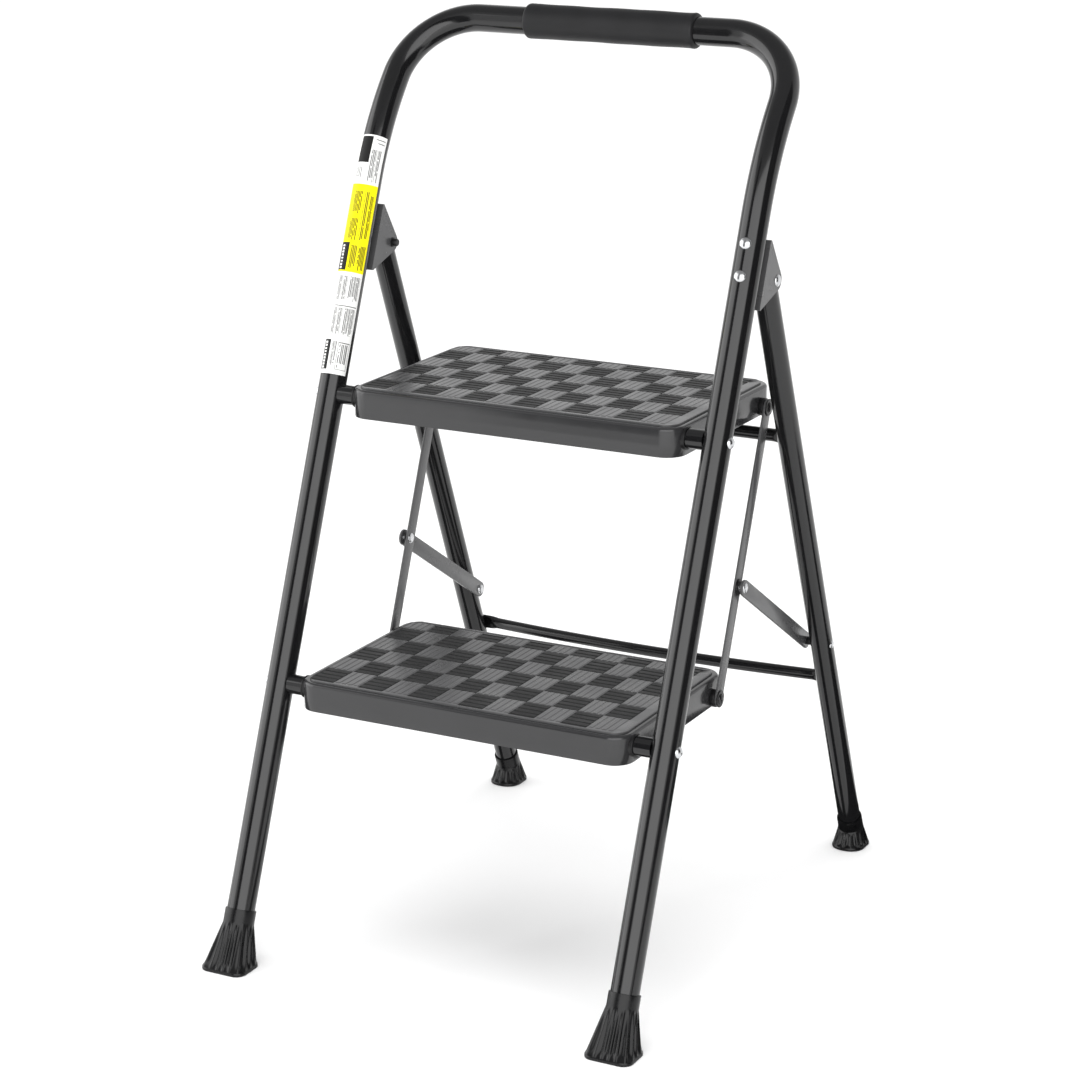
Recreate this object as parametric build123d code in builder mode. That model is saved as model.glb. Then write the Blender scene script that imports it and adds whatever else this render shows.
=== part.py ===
from build123d import *
import math
import os

os.makedirs("parts", exist_ok=True)

# Two-step folding step stool: a bent-tube front frame, a folding rear frame and two linked steel steps.

# Frame: +Z up from the floor, +Y to the rear, X across. The origin is under the middle of the whole stool.

# Front frame: one bent tube, legs leaning back, top swept back a little more and bent over into the handle.
leg_x = 206.0
front_lean = 21.26
front_toe_y = -283.75
front_tube_radius = 13.4
front_tube_wall = 1.5
front_leg_end_height = 8.5
sweep_back_start = 775.5
sweep_back_radius = 325.0
sweep_back_angle = 17.8
straight_below_corner = 8.0
corner_radius = 72.0

# Rear frame: two straight tubes leaning forward to the hinge brackets.
rear_lean = 22.49
rear_toe_y = 291.15
rear_tube_radius = 11.5
rear_tube_wall = 1.2
rear_leg_end_height = 7.5
rear_leg_above_pivot = 11.0
hinge_height = 657.5

# Foam grip on the handle.
grip_radius = 17.0
grip_half_length = 90.5
grip_centre_x = 8.5
grip_end_round = 2.0

# Printed label wrapped round the front of the left leg.
label_low = 580.0
label_above_sweep = 40.0
label_half_angle = 82.0
label_thickness = 0.2

# Hinge brackets: folded sheet, a base plate riveted to the leg and two ears that hold the rear leg.
bracket_sheet = 1.8
bracket_ear_gap = 23.8
bracket_top = 753.0
bracket_bottom = 690.0
bracket_corner_radius = 1.5
bracket_ear_radius = 9.5
bracket_rivet_distances = (714.1, 744.7)

# Steps: pressed steel pans with turned-down skirts, hinged on tubes between the front legs.
step_width = 350.0
step_depth = 221.0
skirt_height = 28.0
pan_sheet = 1.5
pan_corner_radius = 20.0
pan_edge_round = 3.0
mat_thickness = 1.6
mat_inset = 6.0
tread_above_axle = 11.8
front_edge_ahead_of_axle = 21.4
step_axle_heights = {"top": 524.4, "bottom": 259.0}

axle_tube_radius = 9.5
axle_tube_wall = 1.5
axle_bolt_radius = 4.0
bushing_wall = 1.2
bushing_collar_radius = 12.6
bushing_collar_thickness = 2.5

# Side links join the two steps. Each hangs on a rivet behind the axle, at the same offset on both steps.
link_offset_y = 170.6
link_offset_z = -7.4
link_inner_x = 180.2
link_thickness = 2.2
link_half_width = 7.4
link_spacer_radius = 8.6
link_washer_radius = 8.3
link_washer_thickness = 1.2

# Braces run from the middle of each link down to the rear leg.
brace_top_height = 353.0
brace_bottom_height = 254.0
brace_inner_x = 187.6
brace_thickness = 2.4
brace_half_width = 8.0
brace_spacer_radius = 4.2

# Rear crossbars: round tube flattened at the ends and riveted to the back of the rear legs.
crossbar_heights = {"upper": 481.6, "lower": 201.6}
crossbar_radii = {"upper": 6.35, "lower": 5.75}
crossbar_bows = {"upper": 0.0, "lower": 10.0}
crossbar_round_half = 184.0
crossbar_flat_start = 197.0
crossbar_flat_end = 211.0
crossbar_flat_thickness = 3.0
crossbar_flat_height = 17.0

# Feet.
front_foot_base = (48.0, 38.0)
front_foot_corner = 10.0
front_foot_shift_y = -2.0
front_foot_collar = (43.0, 13.0)
rear_foot_base = (35.0, 43.0)
rear_foot_corner = 16.0
rear_foot_shift_y = -7.9
rear_foot_collar = (25.0, 12.5)
foot_rim = 4.0
foot_wall = 1.6

# Fasteners.
rivet_radius = 3.0
rivet_head_radius = 5.2
rivet_head_height = 2.4
small_rivet_radius = 2.5
large_head_radius = 5.8
large_head_height = 2.8
low_head_height = 1.8
pivot_pin_radius = 4.0

# Clearances, radial or face to face.
running_gap = 0.06
seat_gap = 0.05
side_gap = 0.1
open_pivot_gap = 0.3

sides = {"left": -1, "right": 1}
sin_front = math.sin(math.radians(front_lean))
cos_front = math.cos(math.radians(front_lean))
sin_rear = math.sin(math.radians(rear_lean))
cos_rear = math.cos(math.radians(rear_lean))
behind_front_leg = (0, cos_front, -sin_front)
behind_rear_leg = (0, cos_rear, sin_rear)


def front_point(distance, behind=0.0):
    """(y, z) at a distance up the front leg from the floor, and a distance behind its axis."""
    y = front_toe_y + distance * sin_front + behind * cos_front
    z = distance * cos_front - behind * sin_front
    return y, z


def rear_point(height, behind=0.0):
    """(y, z) on the rear leg axis at a height, moved squarely behind the axis."""
    y = rear_toe_y - height * sin_rear / cos_rear + behind * cos_rear
    z = height + behind * sin_rear
    return y, z


def side_plane(x):
    """Plane across the stool at x, drawn in (y, z)."""
    return Plane(origin=(x, 0, 0), x_dir=(0, 1, 0), z_dir=(1, 0, 0))


def square_plane(x, point, normal, offset=0.0):
    """Plane through (x, y, z) with the given normal, moved along it by offset."""
    return Plane(origin=(x, *point), x_dir=(1, 0, 0), z_dir=normal).offset(offset)


def layer(side, inner, outer):
    """Start plane and thickness of a layer between two distances from the middle of the stool."""
    return side_plane(min(side * inner, side * outer)), abs(outer - inner)


def outermost(side):
    """Index of the outermost group of edges along X on this side."""
    return -1 if side > 0 else 0


axle_points = {name: (height / cos_front * sin_front + front_toe_y, height)
               for name, height in step_axle_heights.items()}
link_points = {name: (y + link_offset_y, z + link_offset_z) for name, (y, z) in axle_points.items()}
hinge_point = rear_point(hinge_height)
top_link_y, top_link_z = link_points["top"]
brace_top_point = (top_link_y - (top_link_z - brace_top_height) * sin_front / cos_front, brace_top_height)
brace_bottom_point = rear_point(brace_bottom_height)
bracket_half_width = bracket_ear_gap / 2 + bracket_sheet
link_outer_x = link_inner_x + link_thickness
brace_outer_x = brace_inner_x + brace_thickness
link_washer_outer_x = link_outer_x + side_gap + link_washer_thickness


# The bent centre line of the front frame, right leg first.
straight_end = front_point(sweep_back_start)
swept_angle = math.radians(front_lean + sweep_back_angle)
half_swept_angle = math.radians(front_lean + sweep_back_angle / 2)
swept_y, swept_z = math.sin(swept_angle), math.cos(swept_angle)


def sweep_back_point(angle):
    """(y, z) on the arc where the leg sweeps back, at an angle from upright."""
    y = straight_end[0] + sweep_back_radius * (cos_front - math.cos(angle))
    z = straight_end[1] + sweep_back_radius * (math.sin(angle) - sin_front)
    return y, z


def above_sweep(distance):
    """(y, z) at a distance up the swept-back part."""
    y, z = sweep_back_point(swept_angle)
    return y + distance * swept_y, z + distance * swept_z


corner_low = above_sweep(straight_below_corner)
corner_middle = above_sweep(straight_below_corner + corner_radius * math.sin(math.pi / 4))
corner_high = above_sweep(straight_below_corner + corner_radius)
corner_middle_x = leg_x - corner_radius * (1 - math.cos(math.pi / 4))
handle_end_x = leg_x - corner_radius
leg_end = front_point(front_leg_end_height / cos_front)

with BuildPart() as front_leg_space:
    for sign in sides.values():
        with BuildSketch(square_plane(sign * leg_x, front_point(0), (0, sin_front, cos_front))):
            Circle(front_tube_radius + seat_gap)
        extrude(amount=sweep_back_start)

with BuildPart() as rear_leg_space:
    for sign in sides.values():
        with BuildSketch(square_plane(sign * leg_x, rear_point(0), (0, -sin_rear, cos_rear))):
            Circle(rear_tube_radius + seat_gap)
        extrude(amount=hinge_height)

# Front frame tube.
with BuildPart() as front_frame_tube:
    with BuildLine() as frame_line:
        Line((leg_x, *leg_end), (leg_x, *straight_end))
        ThreePointArc((leg_x, *straight_end), (leg_x, *sweep_back_point(half_swept_angle)),
                      (leg_x, *sweep_back_point(swept_angle)))
        Line((leg_x, *sweep_back_point(swept_angle)), (leg_x, *corner_low))
        ThreePointArc((leg_x, *corner_low), (corner_middle_x, *corner_middle), (handle_end_x, *corner_high))
        Line((handle_end_x, *corner_high), (-handle_end_x, *corner_high))
        ThreePointArc((-handle_end_x, *corner_high), (-corner_middle_x, *corner_middle), (-leg_x, *corner_low))
        Line((-leg_x, *corner_low), (-leg_x, *sweep_back_point(swept_angle)))
        ThreePointArc((-leg_x, *sweep_back_point(swept_angle)), (-leg_x, *sweep_back_point(half_swept_angle)),
                      (-leg_x, *straight_end))
        Line((-leg_x, *straight_end), (-leg_x, *leg_end))
    with BuildSketch(Plane(origin=frame_line.line @ 0, x_dir=(1, 0, 0), z_dir=frame_line.line % 0)):
        Circle(front_tube_radius)
        Circle(front_tube_radius - front_tube_wall, mode=Mode.SUBTRACT)
    sweep(path=frame_line.line)
    for point in axle_points.values():
        with BuildSketch(side_plane(-leg_x - 2 * front_tube_radius)):
            with Locations(point):
                Circle(axle_bolt_radius + side_gap)
        extrude(amount=2 * leg_x + 4 * front_tube_radius, mode=Mode.SUBTRACT)
    for sign in sides.values():
        for distance in bracket_rivet_distances:
            with BuildSketch(square_plane(sign * leg_x, front_point(distance), behind_front_leg)):
                Circle(small_rivet_radius + side_gap)
            extrude(amount=2 * front_tube_radius, both=sign > 0, mode=Mode.SUBTRACT)
front_frame_tube.part.label = "front_frame_tube"
export_step(front_frame_tube.part, "parts/front_frame_tube.step")

# Foam grip.
with BuildPart() as handle_grip:
    with BuildSketch(side_plane(grip_centre_x)):
        with Locations(corner_high):
            Circle(grip_radius)
            Circle(front_tube_radius + seat_gap, mode=Mode.SUBTRACT)
    extrude(amount=grip_half_length, both=True)
    for end in (0, -1):
        fillet(handle_grip.edges().group_by(Axis.X)[end].sort_by(SortBy.LENGTH)[-1], grip_end_round)
handle_grip.part.label = "handle_grip"
export_step(handle_grip.part, "parts/handle_grip.step")

# Label on the front of the left leg, following the tube through the start of the sweep-back.
label_angle = label_above_sweep / sweep_back_radius
label_start = front_point(label_low)
with BuildPart() as leg_label:
    with BuildLine() as label_line:
        Line((-leg_x, *label_start), (-leg_x, *straight_end))
        ThreePointArc((-leg_x, *straight_end),
                      (-leg_x, *sweep_back_point(math.radians(front_lean) + label_angle / 2)),
                      (-leg_x, *sweep_back_point(math.radians(front_lean) + label_angle)))
    with BuildSketch(square_plane(-leg_x, label_start, (0, sin_front, cos_front))):
        with BuildLine():
            label_in = front_tube_radius + seat_gap
            label_out = label_in + label_thickness
            front_direction = -90
            inner_arc = CenterArc((0, 0), label_in, front_direction - label_half_angle, 2 * label_half_angle)
            outer_arc = CenterArc((0, 0), label_out, front_direction - label_half_angle, 2 * label_half_angle)
            Line(inner_arc @ 0, outer_arc @ 0)
            Line(inner_arc @ 1, outer_arc @ 1)
        make_face()
    sweep(path=label_line.line)
leg_label.part.label = "leg_label"
export_step(leg_label.part, "parts/leg_label.step")

# Hinge brackets.
base_front = front_tube_radius + side_gap
base_back = base_front + bracket_sheet
for name, side in sides.items():
    start, width = layer(side, leg_x - bracket_half_width, leg_x + bracket_half_width)
    with BuildPart() as hinge_bracket:
        with BuildSketch(start):
            with Locations(hinge_point):
                Circle(bracket_ear_radius)
            for distance in (bracket_bottom, bracket_top):
                with Locations(front_point(distance, base_front + bracket_corner_radius)):
                    Circle(bracket_corner_radius)
            make_hull()
        extrude(amount=width)
        with BuildSketch(start.offset(bracket_sheet)):
            reach = 4 * bracket_ear_radius + base_back
            with BuildLine():
                Polyline(front_point(bracket_bottom - reach, base_back), front_point(bracket_top + reach, base_back),
                         front_point(bracket_top + reach, base_back + reach),
                         front_point(bracket_bottom - reach, base_back + reach), close=True)
            make_face()
        extrude(amount=bracket_ear_gap, mode=Mode.SUBTRACT)
        with BuildSketch(start):
            with Locations(hinge_point):
                Circle(pivot_pin_radius + seat_gap)
        extrude(amount=width, mode=Mode.SUBTRACT)
        for distance in bracket_rivet_distances:
            with BuildSketch(square_plane(side * leg_x, front_point(distance), behind_front_leg)):
                Circle(small_rivet_radius + side_gap)
            extrude(amount=base_back + bracket_sheet, mode=Mode.SUBTRACT)
    hinge_bracket.part.label = f"hinge_bracket_{name}"
    export_step(hinge_bracket.part, f"parts/hinge_bracket_{name}.step")

# Rivets that hold the brackets. On the right leg they go right through, with domed heads in front and flat tails
# inside the bracket. On the left leg they are set from behind, with a bulb inside the tube, under the label.
tail_start = base_back + side_gap
bulb_start, bulb_length = 8.0, 2.4
with BuildPart() as bracket_rivets:
    for distance in bracket_rivet_distances:
        axis_plane = square_plane(leg_x, front_point(distance), behind_front_leg)
        with BuildSketch(axis_plane.offset(-front_tube_radius - large_head_height)):
            Circle(large_head_radius)
        extrude(amount=2 * large_head_height)
    fillet(bracket_rivets.edges().group_by(Axis((0, 0, 0), behind_front_leg))[0], large_head_height - 0.3)
    add(front_leg_space.part, mode=Mode.SUBTRACT)
    for sign in sides.values():
        for distance in bracket_rivet_distances:
            axis_plane = square_plane(sign * leg_x, front_point(distance), behind_front_leg)
            shank_start = -front_tube_radius - side_gap if sign > 0 else bulb_start
            with BuildSketch(axis_plane.offset(shank_start)):
                Circle(small_rivet_radius)
            extrude(amount=tail_start - shank_start)
            if sign < 0:
                with BuildSketch(axis_plane.offset(bulb_start)):
                    Circle(1.5 * small_rivet_radius)
                extrude(amount=bulb_length)
            with BuildSketch(axis_plane.offset(tail_start)):
                Circle(1.7 * small_rivet_radius)
            extrude(amount=bracket_sheet)
bracket_rivets.part.label = "bracket_rivets"
export_step(bracket_rivets.part, "parts/bracket_rivets.step")

# Hinge pins across the bracket ears.
with BuildPart() as hinge_pins:
    for sign in sides.values():
        pin_in = leg_x - bracket_half_width - side_gap
        pin_out = leg_x + bracket_half_width + side_gap
        for radius, inner, outer in (
            (pivot_pin_radius, pin_in, pin_out),
            (rivet_head_radius, pin_in - rivet_head_height, pin_in),
            (large_head_radius, pin_out, pin_out + rivet_head_height),
        ):
            start, width = layer(sign, inner, outer)
            with BuildSketch(start):
                with Locations(hinge_point):
                    Circle(radius)
            extrude(amount=width)
        fillet(hinge_pins.edges().group_by(Axis.X)[outermost(sign)], rivet_head_height - 0.3)
hinge_pins.part.label = "hinge_pins"
export_step(hinge_pins.part, "parts/hinge_pins.step")

# Step axles: a tube between the front legs, held by a long bolt through both legs.
head_in = leg_x + front_tube_radius
for name, point in axle_points.items():
    with BuildPart() as step_axle_tube:
        with BuildSketch(side_plane(0)):
            with Locations(point):
                Circle(axle_tube_radius)
                Circle(axle_tube_radius - axle_tube_wall, mode=Mode.SUBTRACT)
        extrude(amount=leg_x - front_tube_radius / 2, both=True)
        add(front_leg_space.part, mode=Mode.SUBTRACT)
    step_axle_tube.part.label = f"{name}_axle_tube"
    export_step(step_axle_tube.part, f"parts/{name}_axle_tube.step")
    with BuildPart() as step_axle_bolt:
        with BuildSketch(side_plane(0)):
            with Locations(point):
                Circle(large_head_radius)
        extrude(amount=head_in + large_head_height, both=True)
        for end in (0, -1):
            fillet(step_axle_bolt.edges().group_by(Axis.X)[end], large_head_height - 0.3)
        with BuildSketch(side_plane(0)):
            with Locations(point):
                Circle(2 * large_head_radius)
        extrude(amount=leg_x, both=True, mode=Mode.SUBTRACT)
        add(front_leg_space.part, mode=Mode.SUBTRACT)
        with BuildSketch(side_plane(0)):
            with Locations(point):
                Circle(axle_bolt_radius)
        extrude(amount=head_in + large_head_height / 4, both=True)
    step_axle_bolt.part.label = f"{name}_axle_bolt"
    export_step(step_axle_bolt.part, f"parts/{name}_axle_bolt.step")

# Steps.
pan_inner_x = step_width / 2 - pan_sheet
for name, point in axle_points.items():
    axle_y, axle_z = point
    tread_z = axle_z + tread_above_axle
    middle_y = axle_y - front_edge_ahead_of_axle + step_depth / 2
    bushing_radius = axle_tube_radius + running_gap + bushing_wall
    with BuildPart() as step_pan:
        with BuildSketch(Plane.XY.offset(tread_z - skirt_height)):
            with Locations((0, middle_y)):
                RectangleRounded(step_width, step_depth, pan_corner_radius)
        extrude(amount=skirt_height)
        fillet(step_pan.edges().group_by(Axis.Z)[-1], pan_edge_round)
        with BuildSketch(Plane.XY.offset(tread_z - skirt_height)):
            with Locations((0, middle_y)):
                RectangleRounded(step_width - 2 * pan_sheet, step_depth - 2 * pan_sheet, pan_corner_radius - pan_sheet)
        extrude(amount=skirt_height - pan_edge_round, mode=Mode.SUBTRACT)
        with BuildSketch(Plane.XY.offset(tread_z - pan_edge_round)):
            with Locations((0, middle_y)):
                RectangleRounded(step_width - 2 * pan_edge_round, step_depth - 2 * pan_edge_round,
                                 pan_corner_radius - pan_edge_round)
        extrude(amount=pan_edge_round - pan_sheet, mode=Mode.SUBTRACT)
        with BuildSketch(side_plane(-step_width)):
            with Locations(point):
                Circle(bushing_radius + seat_gap)
            with Locations(link_points[name]):
                Circle(rivet_radius + seat_gap)
        extrude(amount=2 * step_width, mode=Mode.SUBTRACT)
    step_pan.part.label = f"{name}_step_pan"
    export_step(step_pan.part, f"parts/{name}_step_pan.step")

    with BuildPart() as step_mat:
        with BuildSketch(Plane.XY.offset(tread_z)):
            with Locations((0, middle_y)):
                RectangleRounded(step_width - 2 * mat_inset, step_depth - 2 * mat_inset, pan_corner_radius - mat_inset)
        extrude(amount=mat_thickness)
    step_mat.part.label = f"{name}_step_mat"
    export_step(step_mat.part, f"parts/{name}_step_mat.step")

    with BuildPart() as step_bushings:
        for sign in sides.values():
            for radius, inner, outer in (
                (bushing_radius, pan_inner_x - bushing_collar_thickness, step_width / 2 + side_gap),
                (bushing_collar_radius, step_width / 2 + side_gap,
                 step_width / 2 + side_gap + bushing_collar_thickness),
            ):
                start, width = layer(sign, inner, outer)
                with BuildSketch(start):
                    with Locations(point):
                        Circle(radius)
                        Circle(axle_tube_radius + running_gap, mode=Mode.SUBTRACT)
                extrude(amount=width)
    step_bushings.part.label = f"{name}_step_bushings"
    export_step(step_bushings.part, f"parts/{name}_step_bushings.step")

# Fasteners of the links: spacer, rivet and washer on each side of each step.
for name, point in link_points.items():
    with BuildPart() as link_spacers:
        for sign in sides.values():
            start, width = layer(sign, step_width / 2 + seat_gap, link_inner_x - side_gap)
            with BuildSketch(start):
                with Locations(point):
                    Circle(link_spacer_radius)
                    Circle(rivet_radius + seat_gap, mode=Mode.SUBTRACT)
            extrude(amount=width)
    link_spacers.part.label = f"{name}_link_spacers"
    export_step(link_spacers.part, f"parts/{name}_link_spacers.step")

    with BuildPart() as link_washers:
        for sign in sides.values():
            start, width = layer(sign, link_outer_x + side_gap, link_washer_outer_x)
            with BuildSketch(start):
                with Locations(point):
                    Circle(link_washer_radius)
                    Circle(rivet_radius + seat_gap, mode=Mode.SUBTRACT)
            extrude(amount=width)
    link_washers.part.label = f"{name}_link_washers"
    export_step(link_washers.part, f"parts/{name}_link_washers.step")

    with BuildPart() as link_rivets:
        for sign in sides.values():
            tail_out = pan_inner_x - side_gap
            head_start = link_washer_outer_x + seat_gap
            for radius, inner, outer in (
                (rivet_head_radius, tail_out - pan_sheet, tail_out),
                (rivet_radius, tail_out, head_start),
                (rivet_head_radius, head_start, head_start + rivet_head_height),
            ):
                start, width = layer(sign, inner, outer)
                with BuildSketch(start):
                    with Locations(point):
                        Circle(radius)
                extrude(amount=width)
            fillet(link_rivets.edges().group_by(Axis.X)[outermost(sign)], rivet_head_height - 0.3)
    link_rivets.part.label = f"{name}_link_rivets"
    export_step(link_rivets.part, f"parts/{name}_link_rivets.step")

# Links, with the rivet and washer that stand at the middle.
for name, side in sides.items():
    with BuildPart() as link_bar:
        start, width = layer(side, link_inner_x, link_outer_x)
        with BuildSketch(start):
            with Locations(*link_points.values()):
                Circle(link_half_width)
            make_hull()
            with Locations(link_points["top"]):
                Circle(rivet_radius + running_gap, mode=Mode.SUBTRACT)
            with Locations(link_points["bottom"]):
                Circle(rivet_radius + open_pivot_gap, mode=Mode.SUBTRACT)
            with Locations(brace_top_point):
                Circle(rivet_radius + seat_gap, mode=Mode.SUBTRACT)
        extrude(amount=width)
    link_bar.part.label = f"link_{name}"
    export_step(link_bar.part, f"parts/link_{name}.step")

    with BuildPart() as link_middle_rivet:
        for radius, inner, outer in (
            (rivet_head_radius, link_inner_x - seat_gap - pan_sheet, link_inner_x - seat_gap),
            (rivet_radius, link_inner_x - seat_gap, link_washer_outer_x),
        ):
            start, width = layer(side, inner, outer)
            with BuildSketch(start):
                with Locations(brace_top_point):
                    Circle(radius)
            extrude(amount=width)
    link_middle_rivet.part.label = f"link_middle_rivet_{name}"
    export_step(link_middle_rivet.part, f"parts/link_middle_rivet_{name}.step")

    with BuildPart() as link_middle_washer:
        start, width = layer(side, link_outer_x + seat_gap, link_washer_outer_x)
        with BuildSketch(start):
            with Locations(brace_top_point):
                Circle(link_washer_radius)
                Circle(rivet_radius + seat_gap, mode=Mode.SUBTRACT)
        extrude(amount=width)
    link_middle_washer.part.label = f"link_middle_washer_{name}"
    export_step(link_middle_washer.part, f"parts/link_middle_washer_{name}.step")

# Braces, with the stud that stands between the brace and the link.
for name, side in sides.items():
    with BuildPart() as brace_bar:
        start, width = layer(side, brace_inner_x, brace_outer_x)
        with BuildSketch(start):
            with Locations(brace_top_point, brace_bottom_point):
                Circle(brace_half_width)
            make_hull()
            with Locations(brace_top_point):
                Circle(rivet_radius + seat_gap, mode=Mode.SUBTRACT)
            with Locations(brace_bottom_point):
                Circle(rivet_radius + running_gap, mode=Mode.SUBTRACT)
        extrude(amount=width)
    brace_bar.part.label = f"brace_{name}"
    export_step(brace_bar.part, f"parts/brace_{name}.step")

    with BuildPart() as brace_stud:
        for radius, inner, outer in (
            (brace_spacer_radius, link_washer_outer_x + open_pivot_gap, brace_inner_x - seat_gap),
            (rivet_radius, brace_inner_x - seat_gap, brace_outer_x + seat_gap),
            (rivet_head_radius, brace_outer_x + seat_gap, brace_outer_x + seat_gap + low_head_height),
        ):
            start, width = layer(side, inner, outer)
            with BuildSketch(start):
                with Locations(brace_top_point):
                    Circle(radius)
            extrude(amount=width)
        fillet(brace_stud.edges().group_by(Axis.X)[outermost(side)], low_head_height - 0.3)
    brace_stud.part.label = f"brace_stud_{name}"
    export_step(brace_stud.part, f"parts/brace_stud_{name}.step")

# Rear legs.
rear_leg_top = hinge_height + rear_leg_above_pivot * cos_rear
rear_leg_length = (rear_leg_top - rear_leg_end_height) / cos_rear
rear_leg_end = rear_point(rear_leg_end_height)
crossbar_offset = rear_tube_radius + side_gap + crossbar_flat_thickness / 2
for name, side in sides.items():
    with BuildPart() as rear_leg:
        with BuildSketch(square_plane(side * leg_x, rear_leg_end, (0, -sin_rear, cos_rear))):
            Circle(rear_tube_radius)
            Circle(rear_tube_radius - rear_tube_wall, mode=Mode.SUBTRACT)
        extrude(amount=rear_leg_length)
        start, width = layer(side, leg_x - 2 * rear_tube_radius, leg_x + 2 * rear_tube_radius)
        with BuildSketch(start):
            with Locations(hinge_point):
                Circle(pivot_pin_radius + running_gap)
            with Locations(brace_bottom_point):
                Circle(rivet_radius + seat_gap)
        extrude(amount=width, mode=Mode.SUBTRACT)
        for height in crossbar_heights.values():
            with BuildSketch(square_plane(side * leg_x, rear_point(height), behind_rear_leg)):
                Circle(small_rivet_radius + side_gap)
            extrude(amount=2 * rear_tube_radius, mode=Mode.SUBTRACT)
    rear_leg.part.label = f"rear_leg_{name}"
    export_step(rear_leg.part, f"parts/rear_leg_{name}.step")

# Rear crossbars: a round middle, pressed flat towards each leg.
for name, height in crossbar_heights.items():
    bar_y, bar_z = rear_point(height, crossbar_offset)
    radius = crossbar_radii[name]
    bow = crossbar_bows[name]
    with BuildPart() as crossbar:
        with BuildLine() as bar_line:
            if bow:
                ThreePointArc((-crossbar_round_half, bar_y, bar_z), (0, bar_y - bow, bar_z),
                              (crossbar_round_half, bar_y, bar_z))
            else:
                Line((-crossbar_round_half, bar_y, bar_z), (crossbar_round_half, bar_y, bar_z))
        with BuildSketch(Plane(origin=bar_line.line @ 0, z_dir=bar_line.line % 0)):
            Circle(radius)
        sweep(path=bar_line.line)
        for sign in sides.values():
            flat = Plane(origin=(sign * crossbar_flat_start, bar_y, bar_z), x_dir=behind_rear_leg, z_dir=(sign, 0, 0))
            bar_end = 0.5 + 0.5 * sign
            with BuildSketch(Plane(origin=bar_line.line @ bar_end, x_dir=behind_rear_leg,
                                   z_dir=sign * (bar_line.line % bar_end))):
                Circle(radius)
            with BuildSketch(flat):
                RectangleRounded(crossbar_flat_thickness, crossbar_flat_height, crossbar_flat_thickness / 2.2)
            loft()
            with BuildSketch(flat):
                RectangleRounded(crossbar_flat_thickness, crossbar_flat_height, crossbar_flat_thickness / 2.2)
            extrude(amount=crossbar_flat_end - crossbar_flat_start)
            with BuildSketch(square_plane(sign * leg_x, (bar_y, bar_z), behind_rear_leg)):
                Circle(small_rivet_radius + side_gap)
            extrude(amount=crossbar_flat_thickness, both=True, mode=Mode.SUBTRACT)
    crossbar.part.label = f"{name}_crossbar"
    export_step(crossbar.part, f"parts/{name}_crossbar.step")

# Blind rivets that hold the crossbars to the back of the rear legs.
flat_back = crossbar_offset + crossbar_flat_thickness / 2 + seat_gap
tail_radius = 1.3 * small_rivet_radius
blind_tail = math.sqrt((rear_tube_radius - rear_tube_wall) ** 2 - tail_radius ** 2) - side_gap
with BuildPart() as crossbar_rivets:
    for sign in sides.values():
        for height in crossbar_heights.values():
            axis_plane = square_plane(sign * leg_x, rear_point(height), behind_rear_leg)
            with BuildSketch(axis_plane.offset(flat_back)):
                Circle(rivet_head_radius)
            extrude(amount=rivet_head_height)
            with BuildSketch(axis_plane.offset(blind_tail)):
                Circle(small_rivet_radius)
            extrude(amount=flat_back - blind_tail)
            with BuildSketch(axis_plane.offset(blind_tail - rivet_head_height)):
                Circle(tail_radius)
            extrude(amount=rivet_head_height)
crossbar_rivets.part.label = "crossbar_rivets"
export_step(crossbar_rivets.part, "parts/crossbar_rivets.step")

# Lower brace rivets through the rear legs, and the spacers that hold the braces off the legs.
with BuildPart() as brace_rivets:
    for sign in sides.values():
        inner_head = brace_inner_x - side_gap
        outer_head = leg_x + rear_tube_radius
        start, width = layer(sign, outer_head - rivet_head_height, outer_head + rivet_head_height)
        with BuildSketch(start):
            with Locations(brace_bottom_point):
                Circle(rivet_head_radius)
        extrude(amount=width)
        fillet(brace_rivets.edges().group_by(Axis.X)[outermost(sign)], rivet_head_height - 0.3)
    add(rear_leg_space.part, mode=Mode.SUBTRACT)
    for sign in sides.values():
        for radius, inner, outer in (
            (rivet_head_radius, inner_head - rivet_head_height, inner_head),
            (rivet_radius, inner_head, outer_head + side_gap),
        ):
            start, width = layer(sign, inner, outer)
            with BuildSketch(start):
                with Locations(brace_bottom_point):
                    Circle(radius)
            extrude(amount=width)
brace_rivets.part.label = "brace_rivets"
export_step(brace_rivets.part, "parts/brace_rivets.step")

with BuildPart() as brace_spacers:
    for sign in sides.values():
        start, width = layer(sign, brace_outer_x + side_gap, leg_x - rear_tube_radius / 2)
        with BuildSketch(start):
            with Locations(brace_bottom_point):
                Circle(brace_spacer_radius)
                Circle(rivet_radius + seat_gap, mode=Mode.SUBTRACT)
        extrude(amount=width)
    add(rear_leg_space.part, mode=Mode.SUBTRACT)
brace_spacers.part.label = "brace_spacers"
export_step(brace_spacers.part, "parts/brace_spacers.step")


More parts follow.
